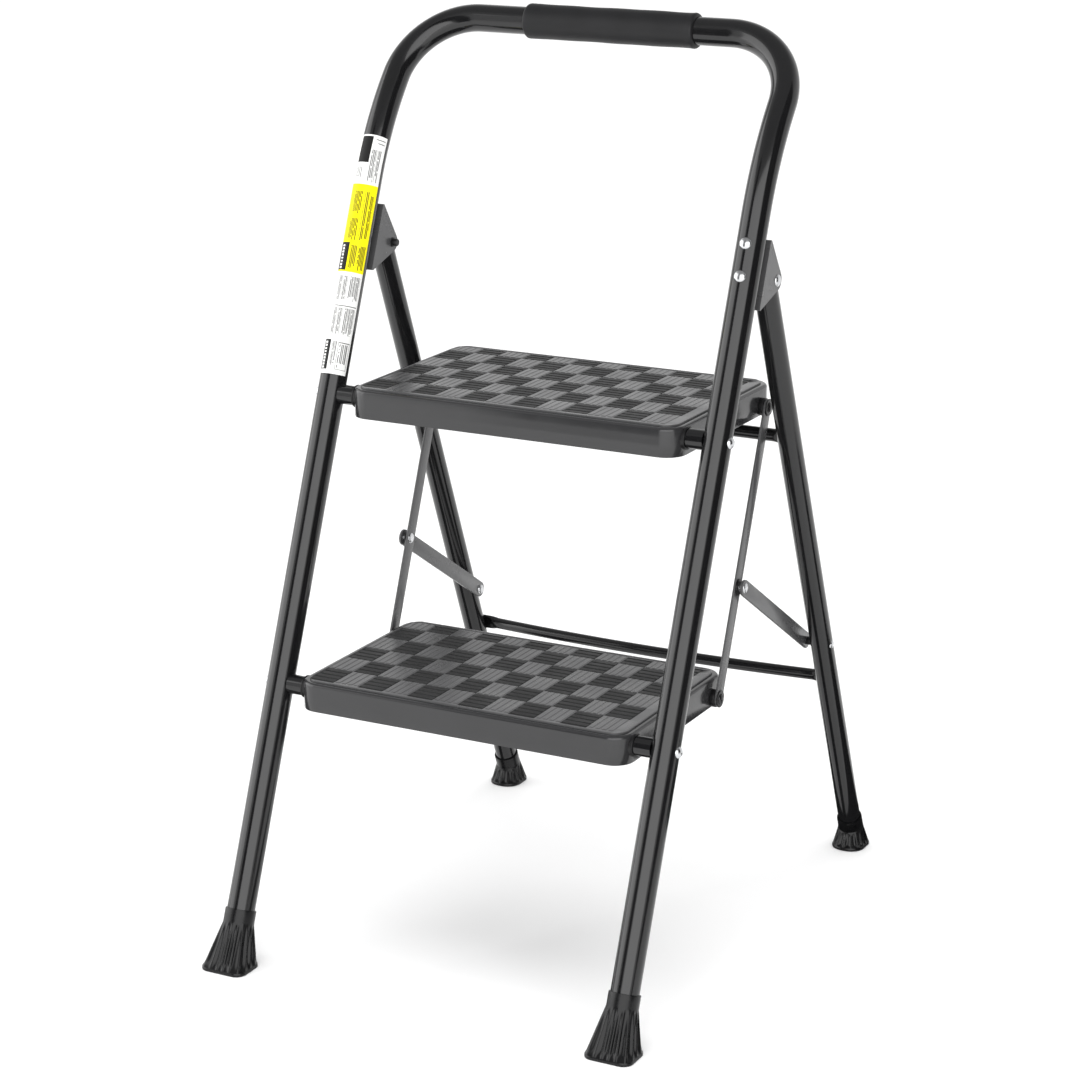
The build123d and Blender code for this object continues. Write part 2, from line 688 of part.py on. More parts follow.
# Rubber boots: a flat base with a rim, narrowing up to a round collar, with a socket for the leg.
boots = {
    "front": (front_foot_base, front_foot_corner, front_toe_y + front_foot_shift_y, front_foot_collar,
              front_point(0), (0, sin_front, cos_front), front_tube_radius, front_leg_end_height / cos_front),
    "rear": (rear_foot_base, rear_foot_corner, rear_toe_y + rear_foot_shift_y, rear_foot_collar,
             rear_point(0), (0, -sin_rear, cos_rear), rear_tube_radius, rear_leg_end_height / cos_rear),
}
for end, (base, corner, base_y, collar, toe, up_leg, tube_radius, tube_end) in boots.items():
    collar_low, collar_length = collar
    for name, side in sides.items():
        leg_plane = square_plane(side * leg_x, toe, up_leg)
        with BuildPart() as foot:
            with BuildSketch():
                with Locations((side * leg_x, base_y)):
                    RectangleRounded(*base, corner)
            extrude(amount=foot_rim)
            with BuildSketch(Plane.XY.offset(foot_rim)):
                with Locations((side * leg_x, base_y)):
                    RectangleRounded(base[0] - foot_wall, base[1] - foot_wall, corner - foot_wall / 2)
            with BuildSketch(leg_plane.offset(collar_low)):
                Circle(tube_radius + foot_wall)
            loft()
            with BuildSketch(leg_plane.offset(collar_low)):
                Circle(tube_radius + foot_wall)
            extrude(amount=collar_length)
            with BuildSketch(leg_plane.offset(tube_end - side_gap)):
                Circle(tube_radius + seat_gap)
            extrude(amount=collar_low + collar_length, mode=Mode.SUBTRACT)
        foot.part.label = f"{end}_foot_{name}"
        export_step(foot.part, f"parts/{end}_foot_{name}.step")
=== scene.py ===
import bpy
import numpy as np
from math import cos, pi, radians, sin, tan
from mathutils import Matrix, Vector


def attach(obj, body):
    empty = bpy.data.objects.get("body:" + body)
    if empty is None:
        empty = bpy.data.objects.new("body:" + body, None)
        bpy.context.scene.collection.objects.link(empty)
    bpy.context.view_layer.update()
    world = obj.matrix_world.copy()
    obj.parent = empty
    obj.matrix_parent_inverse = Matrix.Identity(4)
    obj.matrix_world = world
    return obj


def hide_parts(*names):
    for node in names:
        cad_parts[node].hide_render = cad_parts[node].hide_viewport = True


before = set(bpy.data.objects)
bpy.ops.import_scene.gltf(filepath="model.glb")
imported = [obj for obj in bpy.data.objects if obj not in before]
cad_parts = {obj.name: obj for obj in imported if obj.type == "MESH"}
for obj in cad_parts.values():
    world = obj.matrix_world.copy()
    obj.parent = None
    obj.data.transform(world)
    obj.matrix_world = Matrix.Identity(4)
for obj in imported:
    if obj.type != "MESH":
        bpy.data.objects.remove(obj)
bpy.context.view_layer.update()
print("frame loaded")

mm = 0.001
sides = {"left": -1, "right": 1}

# The stool's skeleton, in millimetres: the frames' leans, where their axes meet the floor, and the pivots.
stool = dict(legX=206.0, frontLean=radians(21.26), frontToe=-283.75, rearLean=radians(22.49), rearToe=291.15,
             hingeHeight=657.5, axleHeight={"top": 524.4, "bottom": 259.0}, linkOffset=(170.6, -7.4),
             braceTop=353.0, braceBottom=254.0)
legX, frontLean, rearLean = stool["legX"], stool["frontLean"], stool["rearLean"]

# Ways across the stool, up each leg and squarely behind it.
across = np.array([1.0, 0.0, 0.0])
upFront = np.array([0.0, sin(frontLean), cos(frontLean)])
behindFront = np.array([0.0, cos(frontLean), -sin(frontLean)])
upRear = np.array([0.0, -sin(rearLean), cos(rearLean)])
behindRear = np.array([0.0, cos(rearLean), sin(rearLean)])


# A point up the front leg's axis from the floor, as (y, z).
def frontPoint(up):
    return np.array([stool["frontToe"] + up * sin(frontLean), up * cos(frontLean)])


# A point on the rear leg's axis at a height, moved squarely behind it, as (y, z).
def rearPoint(height, behind=0.0):
    lean = rearLean
    return np.array([stool["rearToe"] - height * tan(lean) + behind * cos(lean), height + behind * sin(lean)])


axlePoint = {name: frontPoint(height / cos(frontLean))
             for name, height in stool["axleHeight"].items()}
linkPoint = {name: point + np.array(stool["linkOffset"]) for name, point in axlePoint.items()}
hingePoint = rearPoint(stool["hingeHeight"])
braceLow = rearPoint(stool["braceBottom"])
braceDrop = linkPoint["top"][1] - stool["braceTop"]
braceHigh = linkPoint["top"] - braceDrop * np.array([tan(frontLean), 1.0])


# sRGB hex to linear colour.
def toLinear(hexColour):
    channels = np.array([int(hexColour[i:i + 2], 16) for i in (1, 3, 5)]) / 255
    linear = np.where(channels <= 0.04045, channels / 12.92, ((channels + 0.055) / 1.055) ** 2.4)
    return (*linear.tolist(), 1.0)


# One node with its settings; an input is a value or another node's output.
def addNode(tree, kind, inputs=None, **settings):
    node = tree.nodes.new(kind)
    for name, value in settings.items():
        setattr(node, name, value)
    for socket, value in (inputs or {}).items():
        if isinstance(value, bpy.types.NodeSocket):
            tree.links.new(value, node.inputs[socket])
        else:
            node.inputs[socket].default_value = value
    return node


def newMaterial(name):
    material = bpy.data.materials.new(name)
    material.use_nodes = True
    material.node_tree.nodes.clear()
    return material, material.node_tree


# Ends a material: a shader with these inputs goes to the output.
def finishMaterial(material, inputs):
    shader = addNode(material.node_tree, "ShaderNodeBsdfPrincipled", inputs)
    addNode(material.node_tree, "ShaderNodeOutputMaterial", {"Surface": shader.outputs["BSDF"]})
    return material


# Noise on the piece's own coordinates, with its grain size in mm.
def noise(tree, grain, detail):
    place = addNode(tree, "ShaderNodeTexCoord").outputs["Object"]
    inputs = {"Vector": place, "Scale": 1 / (grain * mm), "Detail": detail}
    return addNode(tree, "ShaderNodeTexNoise", inputs).outputs["Fac"]


# A colour that a factor leads from the first to the second.
def blend(tree, factor, first, second):
    inputs = {"Factor": factor, "A": toLinear(first), "B": toLinear(second)}
    return addNode(tree, "ShaderNodeMix", inputs, data_type="RGBA").outputs["Result"]


# A value led from low to high while another goes through a span.
def between(tree, value, low, high, span=(0.0, 1.0)):
    inputs = {"Value": value, "From Min": span[0], "From Max": span[1], "To Min": low, "To Max": high}
    return addNode(tree, "ShaderNodeMapRange", inputs).outputs["Result"]


# Fine relief from a noise, its depth in mm.
def relief(tree, height, strength, depth):
    inputs = {"Height": height, "Strength": strength, "Distance": depth * mm}
    return addNode(tree, "ShaderNodeBump", inputs).outputs["Normal"]


noiseMiddle = (0.3, 0.7)  # the part of its range where a noise mostly lies


# Sprayed or stoved paint: a colour with faint clouding and the orange peel of its film, sizes in mm.
def paintedSteel(name, colour, cloud, roughness, spread, peelSize, peelDepth):
    material, tree = newMaterial(name)
    return finishMaterial(material, {
        "Base Color": blend(tree, noise(tree, 60, 4.0), colour, cloud), "IOR": 1.5,
        "Roughness": between(tree, noise(tree, 22, 5.0), roughness, roughness + spread, noiseMiddle),
        "Normal": relief(tree, noise(tree, peelSize, 2.0), 0.5, peelDepth)})


# Black stoved enamel on steel tube: deep and glossy, so the tubes carry long clean streaks of light.
tubeEnamel = paintedSteel("black stoved enamel on steel tube", "#0f0f10", "#151516", 0.1, 0.06, 1.1, 0.004)
# The same enamel on pressed sheet: a touch softer, because the film is thinner on flat faces.
sheetEnamel = paintedSteel("black stoved enamel on pressed steel sheet", "#262627", "#2d2d2e",
                           0.12, 0.08, 1.3, 0.004)
# Grey-black enamel on flat bar: satin, so the bars read lighter than the tubes.
barEnamel = paintedSteel("satin grey-black enamel on flat bar", "#434344", "#4b4b4c", 0.2, 0.1, 1.5, 0.006)


# Zinc-plated steel, cold-headed: bright silver, with a fine grain and a faint mottled passivation.
def zincPlate():
    material, tree = newMaterial("bright zinc plate on cold-headed steel")
    mottle = noise(tree, 3, 5.0)
    return finishMaterial(material, {
        "Base Color": blend(tree, mottle, "#b9babd", "#d9dadb"), "Metallic": 1.0,
        "Roughness": between(tree, mottle, 0.16, 0.3),
        "Normal": relief(tree, noise(tree, 0.5, 2.0), 0.3, 0.01)})


# Moulded rubber or plastic: matt skin with a fine grain from the mould, in dark and pale patches.
def mouldedSkin(name, colour, patch, roughness, grainSize, grainDepth):
    material, tree = newMaterial(name)
    patches = noise(tree, 18, 5.0)
    return finishMaterial(material, {
        "Base Color": blend(tree, patches, colour, patch), "IOR": 1.5, "Specular IOR Level": 0.3,
        "Roughness": between(tree, patches, roughness - 0.06, roughness + 0.08),
        "Normal": relief(tree, noise(tree, grainSize, 3.0), 0.6, grainDepth)})


zincSteel = zincPlate()
# EPDM rubber boot: soft black with a slight shine on its ribs.
bootRubber = mouldedSkin("moulded EPDM rubber", "#070708", "#101011", 0.27, 0.6, 0.025)
# Nylon washers and bushings: plain black, a little waxy.
blackNylon = mouldedSkin("moulded black nylon", "#0e0e0f", "#161617", 0.32, 0.8, 0.02)
# NBR foam sleeve: dull charcoal with fine closed cells.
gripFoam = mouldedSkin("extruded NBR foam", "#101011", "#18181a", 0.5, 0.45, 0.05)


# Moulded PVC mat: an attribute leads the colour from dark to light, 0 on the darker weave tiles and 1 on the
# lighter ones and the border.
# The step between the two colours is painted light and shade: painted sheen on the lighter tiles and the
# border, painted shade on the darker tiles.
def matVinyl():
    material, tree = newMaterial("moulded PVC tread mat")
    # the attribute read here carries painted sheen and shade: it makes the colour light on the Y-ribbed tiles
    # and the border, dark on the X-ribbed tiles
    tile = addNode(tree, "ShaderNodeAttribute", attribute_name="paintedSheenTone").outputs["Fac"]
    shine = between(tree, tile, 0.5, 0.24)
    wear = between(tree, noise(tree, 35, 5.0), 0.0, 0.12, noiseMiddle)
    rough = addNode(tree, "ShaderNodeMath", {0: shine, 1: wear}, operation="ADD")
    return finishMaterial(material, {
        "Base Color": blend(tree, tile, "#0c0c0d", "#444445"), "IOR": 1.5,
        "Roughness": rough.outputs["Value"], "Normal": relief(tree, noise(tree, 0.7, 2.0), 0.5, 0.03)})


# Laminated paper label: the ink colour is painted on the surface, under a clear satin film.
def labelPrint():
    material, tree = newMaterial("laminated paper label")
    ink = addNode(tree, "ShaderNodeAttribute", attribute_name="ink")
    fibre = noise(tree, 2, 4.0)
    return finishMaterial(material, {
        "Base Color": ink.outputs["Color"], "IOR": 1.5, "Specular IOR Level": 0.2,
        "Roughness": between(tree, fibre, 0.45, 0.6), "Normal": relief(tree, fibre, 0.2, 0.01)})


treadVinyl = matVinyl()
paperLabel = labelPrint()
print("materials made")


# A skin is a grid of points, its rows joined to their neighbours by quads. Rows may close on themselves,
# and open ends may be closed with a fan to their middle. Its faces are turned outwards by its signed volume.
def skin(grid, closeRows=False, closeColumns=True, capEnds=True):
    rows, columns = grid.shape[:2]
    index = np.arange(rows * columns).reshape(rows, columns)
    if closeRows:
        index = np.vstack([index, index[:1]])
    if closeColumns:
        index = np.hstack([index, index[:, :1]])
    corners = index[:-1, :-1], index[:-1, 1:], index[1:, 1:], index[1:, :-1]
    quads = np.stack([corner.ravel() for corner in corners], axis=1)
    points = grid.reshape(-1, 3)
    fans = np.zeros((0, 3), int)
    if capEnds and not closeRows:
        middles = np.stack([grid[0].mean(0), grid[-1].mean(0)])
        first, last = index[0], index[-1]
        top = len(points)
        fans = np.vstack([np.stack([first[1:], first[:-1], np.full(len(first) - 1, top)], 1),
                          np.stack([last[:-1], last[1:], np.full(len(last) - 1, top + 1)], 1)])
        points = np.vstack([points, middles])
    triangles = np.vstack([quads[:, [0, 1, 2]], quads[:, [0, 2, 3]], fans])
    a, b, c = (points[triangles[:, k]] for k in range(3))
    if (np.cross(a, b) * c).sum() < 0:
        quads, fans = quads[:, ::-1], fans[:, ::-1]
    return points, quads, fans


# One piece from several skins, in millimetres; edges sharper than crease stay crisp.
def makePiece(name, skins, body, material, replaced=None, crease=38.0):
    points, faces, start = [], [], 0
    for shape, quads, fans in skins:
        points.append(shape)
        faces += (quads + start).tolist() + (fans + start).tolist()
        start += len(shape)
    mesh = bpy.data.meshes.new(name)
    mesh.from_pydata((np.vstack(points) * mm).tolist(), [], faces)
    mesh.polygons.foreach_set("use_smooth", np.ones(len(faces), bool))
    mesh.set_sharp_from_angle(angle=radians(crease))
    mesh.materials.append(material)
    mesh.update()
    piece = bpy.data.objects.new(name, mesh)
    bpy.context.scene.collection.objects.link(piece)
    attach(piece, body)
    if replaced:
        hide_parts(replaced)
    return piece


# Rings round a path: centre + radius (cos a * side + sin a * behind), side square to behind and ahead.
def rings(path, ahead, behind, radius, count):
    side = np.cross(behind, ahead)
    turn = np.linspace(0, 2 * pi, count, endpoint=False)[None, :, None]
    return path[:, None] + radius * (np.cos(turn) * side[:, None] + np.sin(turn) * behind[:, None])


# A pipe wall: the outer rings up the path and the inner ones back down, closed at both rims.
def pipe(path, ahead, behind, radius, wall, count=56):
    outside = rings(path, ahead, behind, radius, count)
    inside = rings(path, ahead, behind, radius - wall, count)[::-1]
    return skin(np.vstack([outside, inside]), closeRows=True)


# A straight pipe from one point to another.
def straightPipe(start, end, ahead, behind, size, rows):
    line = np.linspace(start, end, rows)
    return pipe(line, np.tile(ahead, (rows, 1)), np.tile(behind, (rows, 1)), size["radius"], size["wall"])


# A profile of (radius, distance) turned about an axis through a centre.
def turned(profile, centre, axis, count=40, closed=False):
    helper = np.array([0.0, 0.0, 1.0]) if abs(axis[2]) < 0.9 else np.array([0.0, 1.0, 0.0])
    first = np.cross(axis, helper)
    first /= np.linalg.norm(first)
    second = np.cross(axis, first)
    profile = np.array(profile, float)
    turn = np.linspace(0, 2 * pi, count, endpoint=False)[None, :, None]
    ring = np.cos(turn) * first + np.sin(turn) * second
    grid = np.array(centre) + profile[:, :1, None] * ring + profile[:, 1:, None] * axis
    return skin(grid, closeRows=closed)


# A profile turned about X through a point (y, z), its distances measured from the stool's middle to one side.
def turnedAcross(profile, point, side=1):
    return turned(np.array(profile) * [1, side], (0.0, *point), across)


# The dome of a rivet head: height * (1 - (r / radius)^2.4)^(1 / 1.6), from its rim to its crown.
def domeProfile(radius, height, base=0.0, steps=9):
    r = radius * np.cos(np.linspace(0, 1, steps) * pi / 2 * 0.97)
    h = base + height * (1 - (r / radius) ** 2.4) ** (1 / 1.6)
    return np.stack([r, h], 1)


# The same dome facing the other way, from its crown to its rim.
def domeInwards(radius, height, base=0.0):
    return domeProfile(radius, height)[::-1] * [1, -1] + [0, base]


# A washer or collar on one side of the stool: a rectangle with rounded corners, turned about X.
def collar(point, inner, outer, start, end, edge, side):
    corner = np.linspace(0, pi / 2, 4)
    low, high = sorted((side * start, side * end))
    shape = [(outer - edge + edge * sin(a), high - edge + edge * cos(a)) for a in corner]
    shape += [(outer - edge + edge * cos(a), low + edge - edge * sin(a)) for a in corner]
    shape += [(inner + edge - edge * sin(a), low + edge - edge * cos(a)) for a in corner]
    shape += [(inner + edge - edge * cos(a), high - edge + edge * sin(a)) for a in corner]
    return turned(shape, (0.0, *point), across, closed=True)


# A pair of skins, one on each side of the stool.
def pair(oneSide, *sizes):
    return [oneSide(*sizes, side) for side in sides.values()]


# Front frame: leg, sweep-back arc, short straight, corner arc and half the handle, then the same mirrored.
frontFrame = dict(radius=13.4, wall=1.5, legEnd=8.5, sweepStart=775.5, sweepRadius=325.0,
                  sweepAngle=radians(17.8), straight=8.0, cornerRadius=72.0,
                  legRows=24, sweepRows=15, cornerRows=27, handleRows=9, around=72)


# The tube's axis, with the ways ahead and behind at each of its points. Each arc leaves the stretch before it
# along its tangent: start + radius (1 - cos a) sideways + radius (sin a) ahead.
def frontPath():
    lean, bend, radius = frontLean, frontFrame["cornerRadius"], frontFrame["sweepRadius"]
    swept = lean + frontFrame["sweepAngle"]
    up = np.linspace(frontFrame["legEnd"] / cos(lean), frontFrame["sweepStart"], frontFrame["legRows"])
    x, toe = legX, stool["frontToe"]
    leg = np.column_stack([np.full_like(up, x), toe + up * sin(lean), up * cos(lean)])
    angle = np.linspace(lean, swept, frontFrame["sweepRows"] + 1)[1:]
    sweep = np.column_stack([np.full_like(angle, x), leg[-1, 1] + radius * (cos(lean) - np.cos(angle)),
                             leg[-1, 2] + radius * (np.sin(angle) - sin(lean))])
    upSwept = np.array([0.0, sin(swept), cos(swept)])
    straight = sweep[-1:] + frontFrame["straight"] * upSwept
    turn = np.linspace(0, pi / 2, frontFrame["cornerRows"] + 1)[1:, None]
    corner = straight + bend * (np.sin(turn) * upSwept - (1 - np.cos(turn)) * across)
    handle = np.linspace(corner[-1], corner[-1] * [0, 1, 1], frontFrame["handleRows"] + 1)[1:]
    half = np.vstack([leg, sweep, straight, corner, handle])
    toSweep = len(leg) + len(sweep)
    leans = np.concatenate([np.full(len(leg), lean), angle, np.full(len(half) - toSweep, swept)])
    behind = np.stack([0 * leans, np.cos(leans), -np.sin(leans)], 1)
    upward = np.stack([0 * leans, np.sin(leans), np.cos(leans)], 1)
    turns = np.concatenate([np.zeros(toSweep + 1), turn.ravel(), np.full(len(handle), pi / 2)])[:, None]
    ahead = np.cos(turns) * upward - np.sin(turns) * across
    mirror = np.array([-1.0, 1.0, 1.0])
    path = np.vstack([half, (half * mirror)[-2::-1]])
    ahead = np.vstack([ahead, (-ahead * mirror)[-2::-1]])
    behind = np.vstack([behind, behind[-2::-1]])
    return path, ahead, behind


path, ahead, behind = frontPath()
handlePoint = path[len(path) // 2, 1:]
frontTube = pipe(path, ahead, behind, frontFrame["radius"], frontFrame["wall"], frontFrame["around"])
makePiece("frontFrame", [frontTube], "front_frame", tubeEnamel, "front_frame_tube")
print("front frame made")


# Foam grip: a sleeve with rolled ends and a very slight unevenness along it.
grip = dict(centre=8.5, halfLength=90.5, radius=17.0, inner=13.5, roll=3.2, swell=0.12, waves=(17.0, 7.3))


# Its radius between the ends: radius + swell (sin(x / first wave) + sin(x / second wave + 1) - 2).
def gripSleeve():
    half, roll, radius, swell = grip["halfLength"], grip["roll"], grip["radius"], grip["swell"]
    turn = np.linspace(0, pi / 2, 7)
    rise = np.stack([radius - roll + roll * np.sin(turn), -half + roll - roll * np.cos(turn)], 1)
    along = np.linspace(-half + roll, half - roll, 60)[1:-1]
    uneven = swell * (np.sin(along / grip["waves"][0]) + np.sin(along / grip["waves"][1] + 1)) - 2 * swell
    middle = np.stack([radius + uneven, along], 1)
    outer = np.vstack([[(grip["inner"], -half)], rise, middle, rise[::-1] * [1, -1], [(grip["inner"], half)]])
    return turned(outer, (grip["centre"], *handlePoint), across, 72, closed=True)


handGrip = makePiece("handGrip", [gripSleeve()], "front_frame", gripFoam, "handle_grip")


# Printed label: a thin strip round the front of the left leg; sizes in mm, angles in degrees from the front.
label = dict(low=580.0, aboveSweep=40.0, halfAngle=82.0, gap=0.05, thickness=0.2, cell=0.5, seed=11,
             white="#e2e2e0", yellow="#f3e500", black="#161616", greyInk="#6a6a6a", yellowInk="#5a540c")


# The leg's axis along the label, first straight and then on the sweep's arc, and arcs of a circle about it.
def labelStrip():
    lean, radius = frontLean, frontFrame["sweepRadius"]
    longPart = frontFrame["sweepStart"] - label["low"]
    total = longPart + label["aboveSweep"]
    along = np.linspace(0, total, int(total / label["cell"]) + 1)
    arc = np.clip(along - longPart, 0, None) / radius
    onLeg = label["low"] + np.minimum(along, longPart)
    y = stool["frontToe"] + onLeg * sin(lean) + radius * (cos(lean) - np.cos(lean + arc))
    z = onLeg * cos(lean) + radius * (np.sin(lean + arc) - sin(lean))
    line = np.stack([np.full_like(y, -legX), y, z], 1)
    behind = np.stack([0 * arc, np.cos(lean + arc), -np.sin(lean + arc)], 1)
    outer = frontFrame["radius"] + label["gap"] + label["thickness"]
    cells = int(2 * radians(label["halfAngle"]) * outer / label["cell"])
    turn = np.radians(np.linspace(-label["halfAngle"], label["halfAngle"], cells + 1))[None, :, None]
    out = np.sin(turn) * across - np.cos(turn) * behind[:, None]
    outside = line[:, None] + outer * out
    inside = line[:, None] + (outer - label["thickness"]) * out[:, [-1, 0]]
    return np.concatenate([outside, inside], 1), cells


# The print, as shares of the label: top, bottom, outer edge, inner edge, colour, and how many lines of small
# print, or 0 for a plain field.
printLayout = [
    (0.205, 0.575, 0.0, 1.0, "yellow", 0), (0.008, 0.115, 0.27, 0.62, "black", 0),
    (0.06, 0.195, 0.66, 0.92, "greyInk", 7), (0.015, 0.02, 0.7, 0.96, "greyInk", 0),
    (0.03, 0.034, 0.76, 0.96, "greyInk", 0), (0.135, 0.185, 0.3, 0.5, "greyInk", 4),
    (0.235, 0.335, 0.4, 0.64, "yellowInk", 6), (0.35, 0.445, 0.4, 0.64, "yellowInk", 6),
    (0.235, 0.44, 0.68, 0.8, "yellowInk", 3), (0.25, 0.43, 0.84, 0.95, "yellowInk", 3),
    (0.462, 0.56, 0.54, 0.72, "yellowInk", 5), (0.462, 0.565, 0.76, 0.96, "yellowInk", 5),
    (0.452, 0.568, 0.14, 0.5, "black", 0), (0.592, 0.7, 0.36, 0.64, "greyInk", 8),
    (0.592, 0.7, 0.69, 0.96, "greyInk", 8), (0.725, 0.84, 0.36, 0.64, "greyInk", 8),
    (0.725, 0.84, 0.69, 0.96, "greyInk", 8), (0.715, 0.718, 0.38, 0.97, "greyInk", 0),
    (0.858, 0.985, 0.14, 0.46, "black", 0), (0.868, 0.982, 0.66, 0.965, "greyInk", 0),
    (0.871, 0.979, 0.675, 0.95, "white", 0), (0.875, 0.975, 0.7, 0.93, "greyInk", 5),
    (0.865, 0.975, 0.5, 0.63, "greyInk", 4)]
dashColumns = [(0.462, 0.558, 0.27, 0.37), (0.868, 0.975, 0.25, 0.35)]  # pale dashes on two header blocks
dash = dict(pitch=0.013, length=0.008, wordGap=0.006, barShare=0.6, ragged=0.25)


def labelInk(rows, cells):
    inks = ("white", "yellow", "black", "greyInk", "yellowInk")
    colours = {name: np.array(toLinear(label[name])) for name in inks}
    ink = np.tile(colours["white"], (rows, cells, 1))
    chance = np.random.default_rng(label["seed"])

    def field(top, bottom, left, right, colour):
        ink[int(top * rows):int(bottom * rows), int(left * cells):int(right * cells)] = colours[colour]

    # parallel bars that run along the leg, with ragged ends, broken into words
    def smallPrint(top, bottom, left, right, colour, lines):
        pitch = (right - left) / lines
        for k in range(lines):
            edge = left + (right - left) * k / lines
            end = bottom - (bottom - top) * dash["ragged"] * chance.random()
            field(top, end, edge, edge + dash["barShare"] * (right - left) / lines, colour)
        background = "yellow" if colour == "yellowInk" else "white"
        for k, gap in enumerate(np.sort(chance.uniform(top, bottom, lines))):
            edge = left + (right - left) * ((k * 5) % lines) / lines
            field(gap, gap + dash["wordGap"], edge, edge + pitch, background)

    for *area, colour, lines in printLayout:
        if lines:
            smallPrint(*area, colour, lines)
        else:
            field(*area, colour)
    for top, bottom, left, right in dashColumns:
        for mark in np.arange(top, bottom, dash["pitch"]):
            field(mark, mark + dash["length"], left, right, "white")
    return ink


# Faces come row by row from the foot of the label, the print's cells first in each; the rest stays white.
grid, cells = labelStrip()
legLabel = makePiece("legLabel", [skin(grid)], "front_frame", paperLabel, "leg_label")
rows, around = len(grid) - 1, grid.shape[1]
whole = np.tile(np.array(toLinear(label["white"])), (len(legLabel.data.polygons), 1))
whole[:rows * around].reshape(rows, around, 4)[:, :cells] = labelInk(rows, cells)[::-1]
perCorner = np.zeros(len(whole), int)
legLabel.data.polygons.foreach_get("loop_total", perCorner)
inkLayer = legLabel.data.color_attributes.new("ink", "BYTE_COLOR", "CORNER")
inkLayer.data.foreach_set("color", np.repeat(whole, perCorner, axis=0).ravel())
print("label printed")


# Fasteners: head radius and height for each kind, and shank radii. The front leg's rivets are set behind the
# bracket, where their tails spread: (radius, distance), measured from the tail's face or from the leg's axis.
heads = dict(large=(5.8, 2.8), rivet=(5.2, 2.4), low=(5.2, 1.8), flat=(5.2, 1.5), small=(4.6, 2.2),
             pin=(5.8, 2.4), shank=3.0, thinShank=2.5, pinShank=4.0, bore=3.05)
legRivets = dict(up=(714.1, 744.7), tailFace=15.4, tail=((4.2, 0.0), (4.2, 0.9), (3.4, 1.7), (1.2, 1.8)),
                 bulb=((3.4, 8.0), (3.75, 8.4), (3.75, 10.0), (2.5, 10.4)), sunk=0.65, rim=1.85)
pin = dict(half=13.8, end=(4.0, 0.2),
           cap=((4.6, 0.3), (4.6, 1.2), (3.7, 1.4), (3.7, 5.0), (3.3, 5.6), (1.0, 5.8)))


# A rivet through the front leg: dome in front, shank, and the set tail behind the bracket's base plate.
# On the left leg it is set from behind, with a bulb inside the tube, so the label lies flat over it.
def legRivet(side, up):
    radius, height = heads["large"]
    face, shank = frontFrame["radius"], heads["thinShank"]
    dome = domeInwards(radius, height + 0.05, legRivets["sunk"] - face)
    front = np.vstack([dome, [(radius, legRivets["rim"] - face), (shank, legRivets["rim"] - face)]])
    tail = [(shank, legRivets["tailFace"])]
    tail += [(spread, legRivets["tailFace"] + rise) for spread, rise in legRivets["tail"]]
    profile = np.vstack([front if side > 0 else legRivets["bulb"], tail])
    return turned(profile, (side * legX, *frontPoint(up)), behindFront)


makePiece("bracketRivets", [legRivet(side, up) for side in sides.values() for up in legRivets["up"]],
          "front_frame", zincSteel, "bracket_rivets")


# A pin along X: a dome at each end and a plain shank, at distances from the middle of the stool.
def crossPin(point, shank, inner, outer, innerHead, outerHead, side):
    ends = [(shank, inner), (shank, outer)]
    profile = np.vstack([domeInwards(*innerHead, inner), ends, domeProfile(*outerHead) + [0, outer]])
    return turnedAcross(profile, point, side)


pinIn, pinOut = legX - pin["half"], legX + pin["half"]
hingePins = pair(crossPin, hingePoint, heads["pinShank"], pinIn, pinOut, pin["end"], heads["pin"])
makePiece("hingePins", hingePins, "front_frame", zincSteel, "hinge_pins")
# black push-on caps over the pins' inner ends
pinCap = [(radius, pinIn - reach) for radius, reach in pin["cap"]]
makePiece("hingePinCaps", pair(turnedAcross, pinCap, hingePoint), "front_frame", blackNylon)

# Axles: a tube between the front legs that runs into them, and a bolt through it with a dome on each leg.
axle = dict(radius=9.5, wall=1.5, intoLeg=1.6, rows=12, domeExtra=1.2, domeSunk=1.2, headSunk=1.9)
for name, point in axlePoint.items():
    legFace = legX + frontFrame["radius"]
    radius, height = heads["large"]
    underHead = legFace - axle["headSunk"]
    half = np.vstack([[(heads["pinShank"], underHead), (radius, underHead)],
                      domeProfile(radius, height + axle["domeExtra"], legFace - axle["domeSunk"])])
    bolt = turnedAcross(np.vstack([half[::-1] * [1, -1], half]), point)
    makePiece(f"{name}AxleBolt", [bolt], "front_frame", zincSteel, f"{name}_axle_bolt")
for name, point in axlePoint.items():
    reach = legX - frontFrame["radius"] + axle["intoLeg"]
    axleTube = straightPipe((-reach, *point), (reach, *point), across, (0.0, 1.0, 0.0), axle, axle["rows"])
    makePiece(f"{name}AxleTube", [axleTube], "front_frame", tubeEnamel, f"{name}_axle_tube")

# Rear legs: straight tubes, open at the top.
rearLeg = dict(radius=11.5, wall=1.2, low=7.5, abovePivot=11.0, rows=30)
lowest = rearPoint(rearLeg["low"])
highest = rearPoint(stool["hingeHeight"] + rearLeg["abovePivot"] * cos(rearLean))
for name, side in sides.items():
    x = side * legX
    rearTube = straightPipe((x, *lowest), (x, *highest), upRear, behindRear, rearLeg, rearLeg["rows"])
    makePiece(f"rearLeg_{name}", [rearTube], "rear_frame", tubeEnamel, f"rear_leg_{name}")
print("tubes and bolts made")


# A rounded rectangle as a loop: quarter circles joined by straights, with the same count at every size.
def roundedLoop(halfX, halfY, radius):
    radius = max(radius, 0.3)
    turn = np.linspace(0, pi / 2, step["cornerPoints"])
    arcs = []
    for k, (signX, signY) in enumerate(((1, 1), (-1, 1), (-1, -1), (1, -1))):
        angle = turn + k * pi / 2
        centre = np.array([signX * (halfX - radius), signY * (halfY - radius)])
        arcs.append(centre + radius * np.stack([np.cos(angle), np.sin(angle)], 1))
    loop = []
    for k, arc in enumerate(arcs):
        loop += [arc, np.linspace(arc[-1], arcs[(k + 1) % 4][0], step["sidePoints"] + 2)[1:-1]]
    return np.vstack(loop)


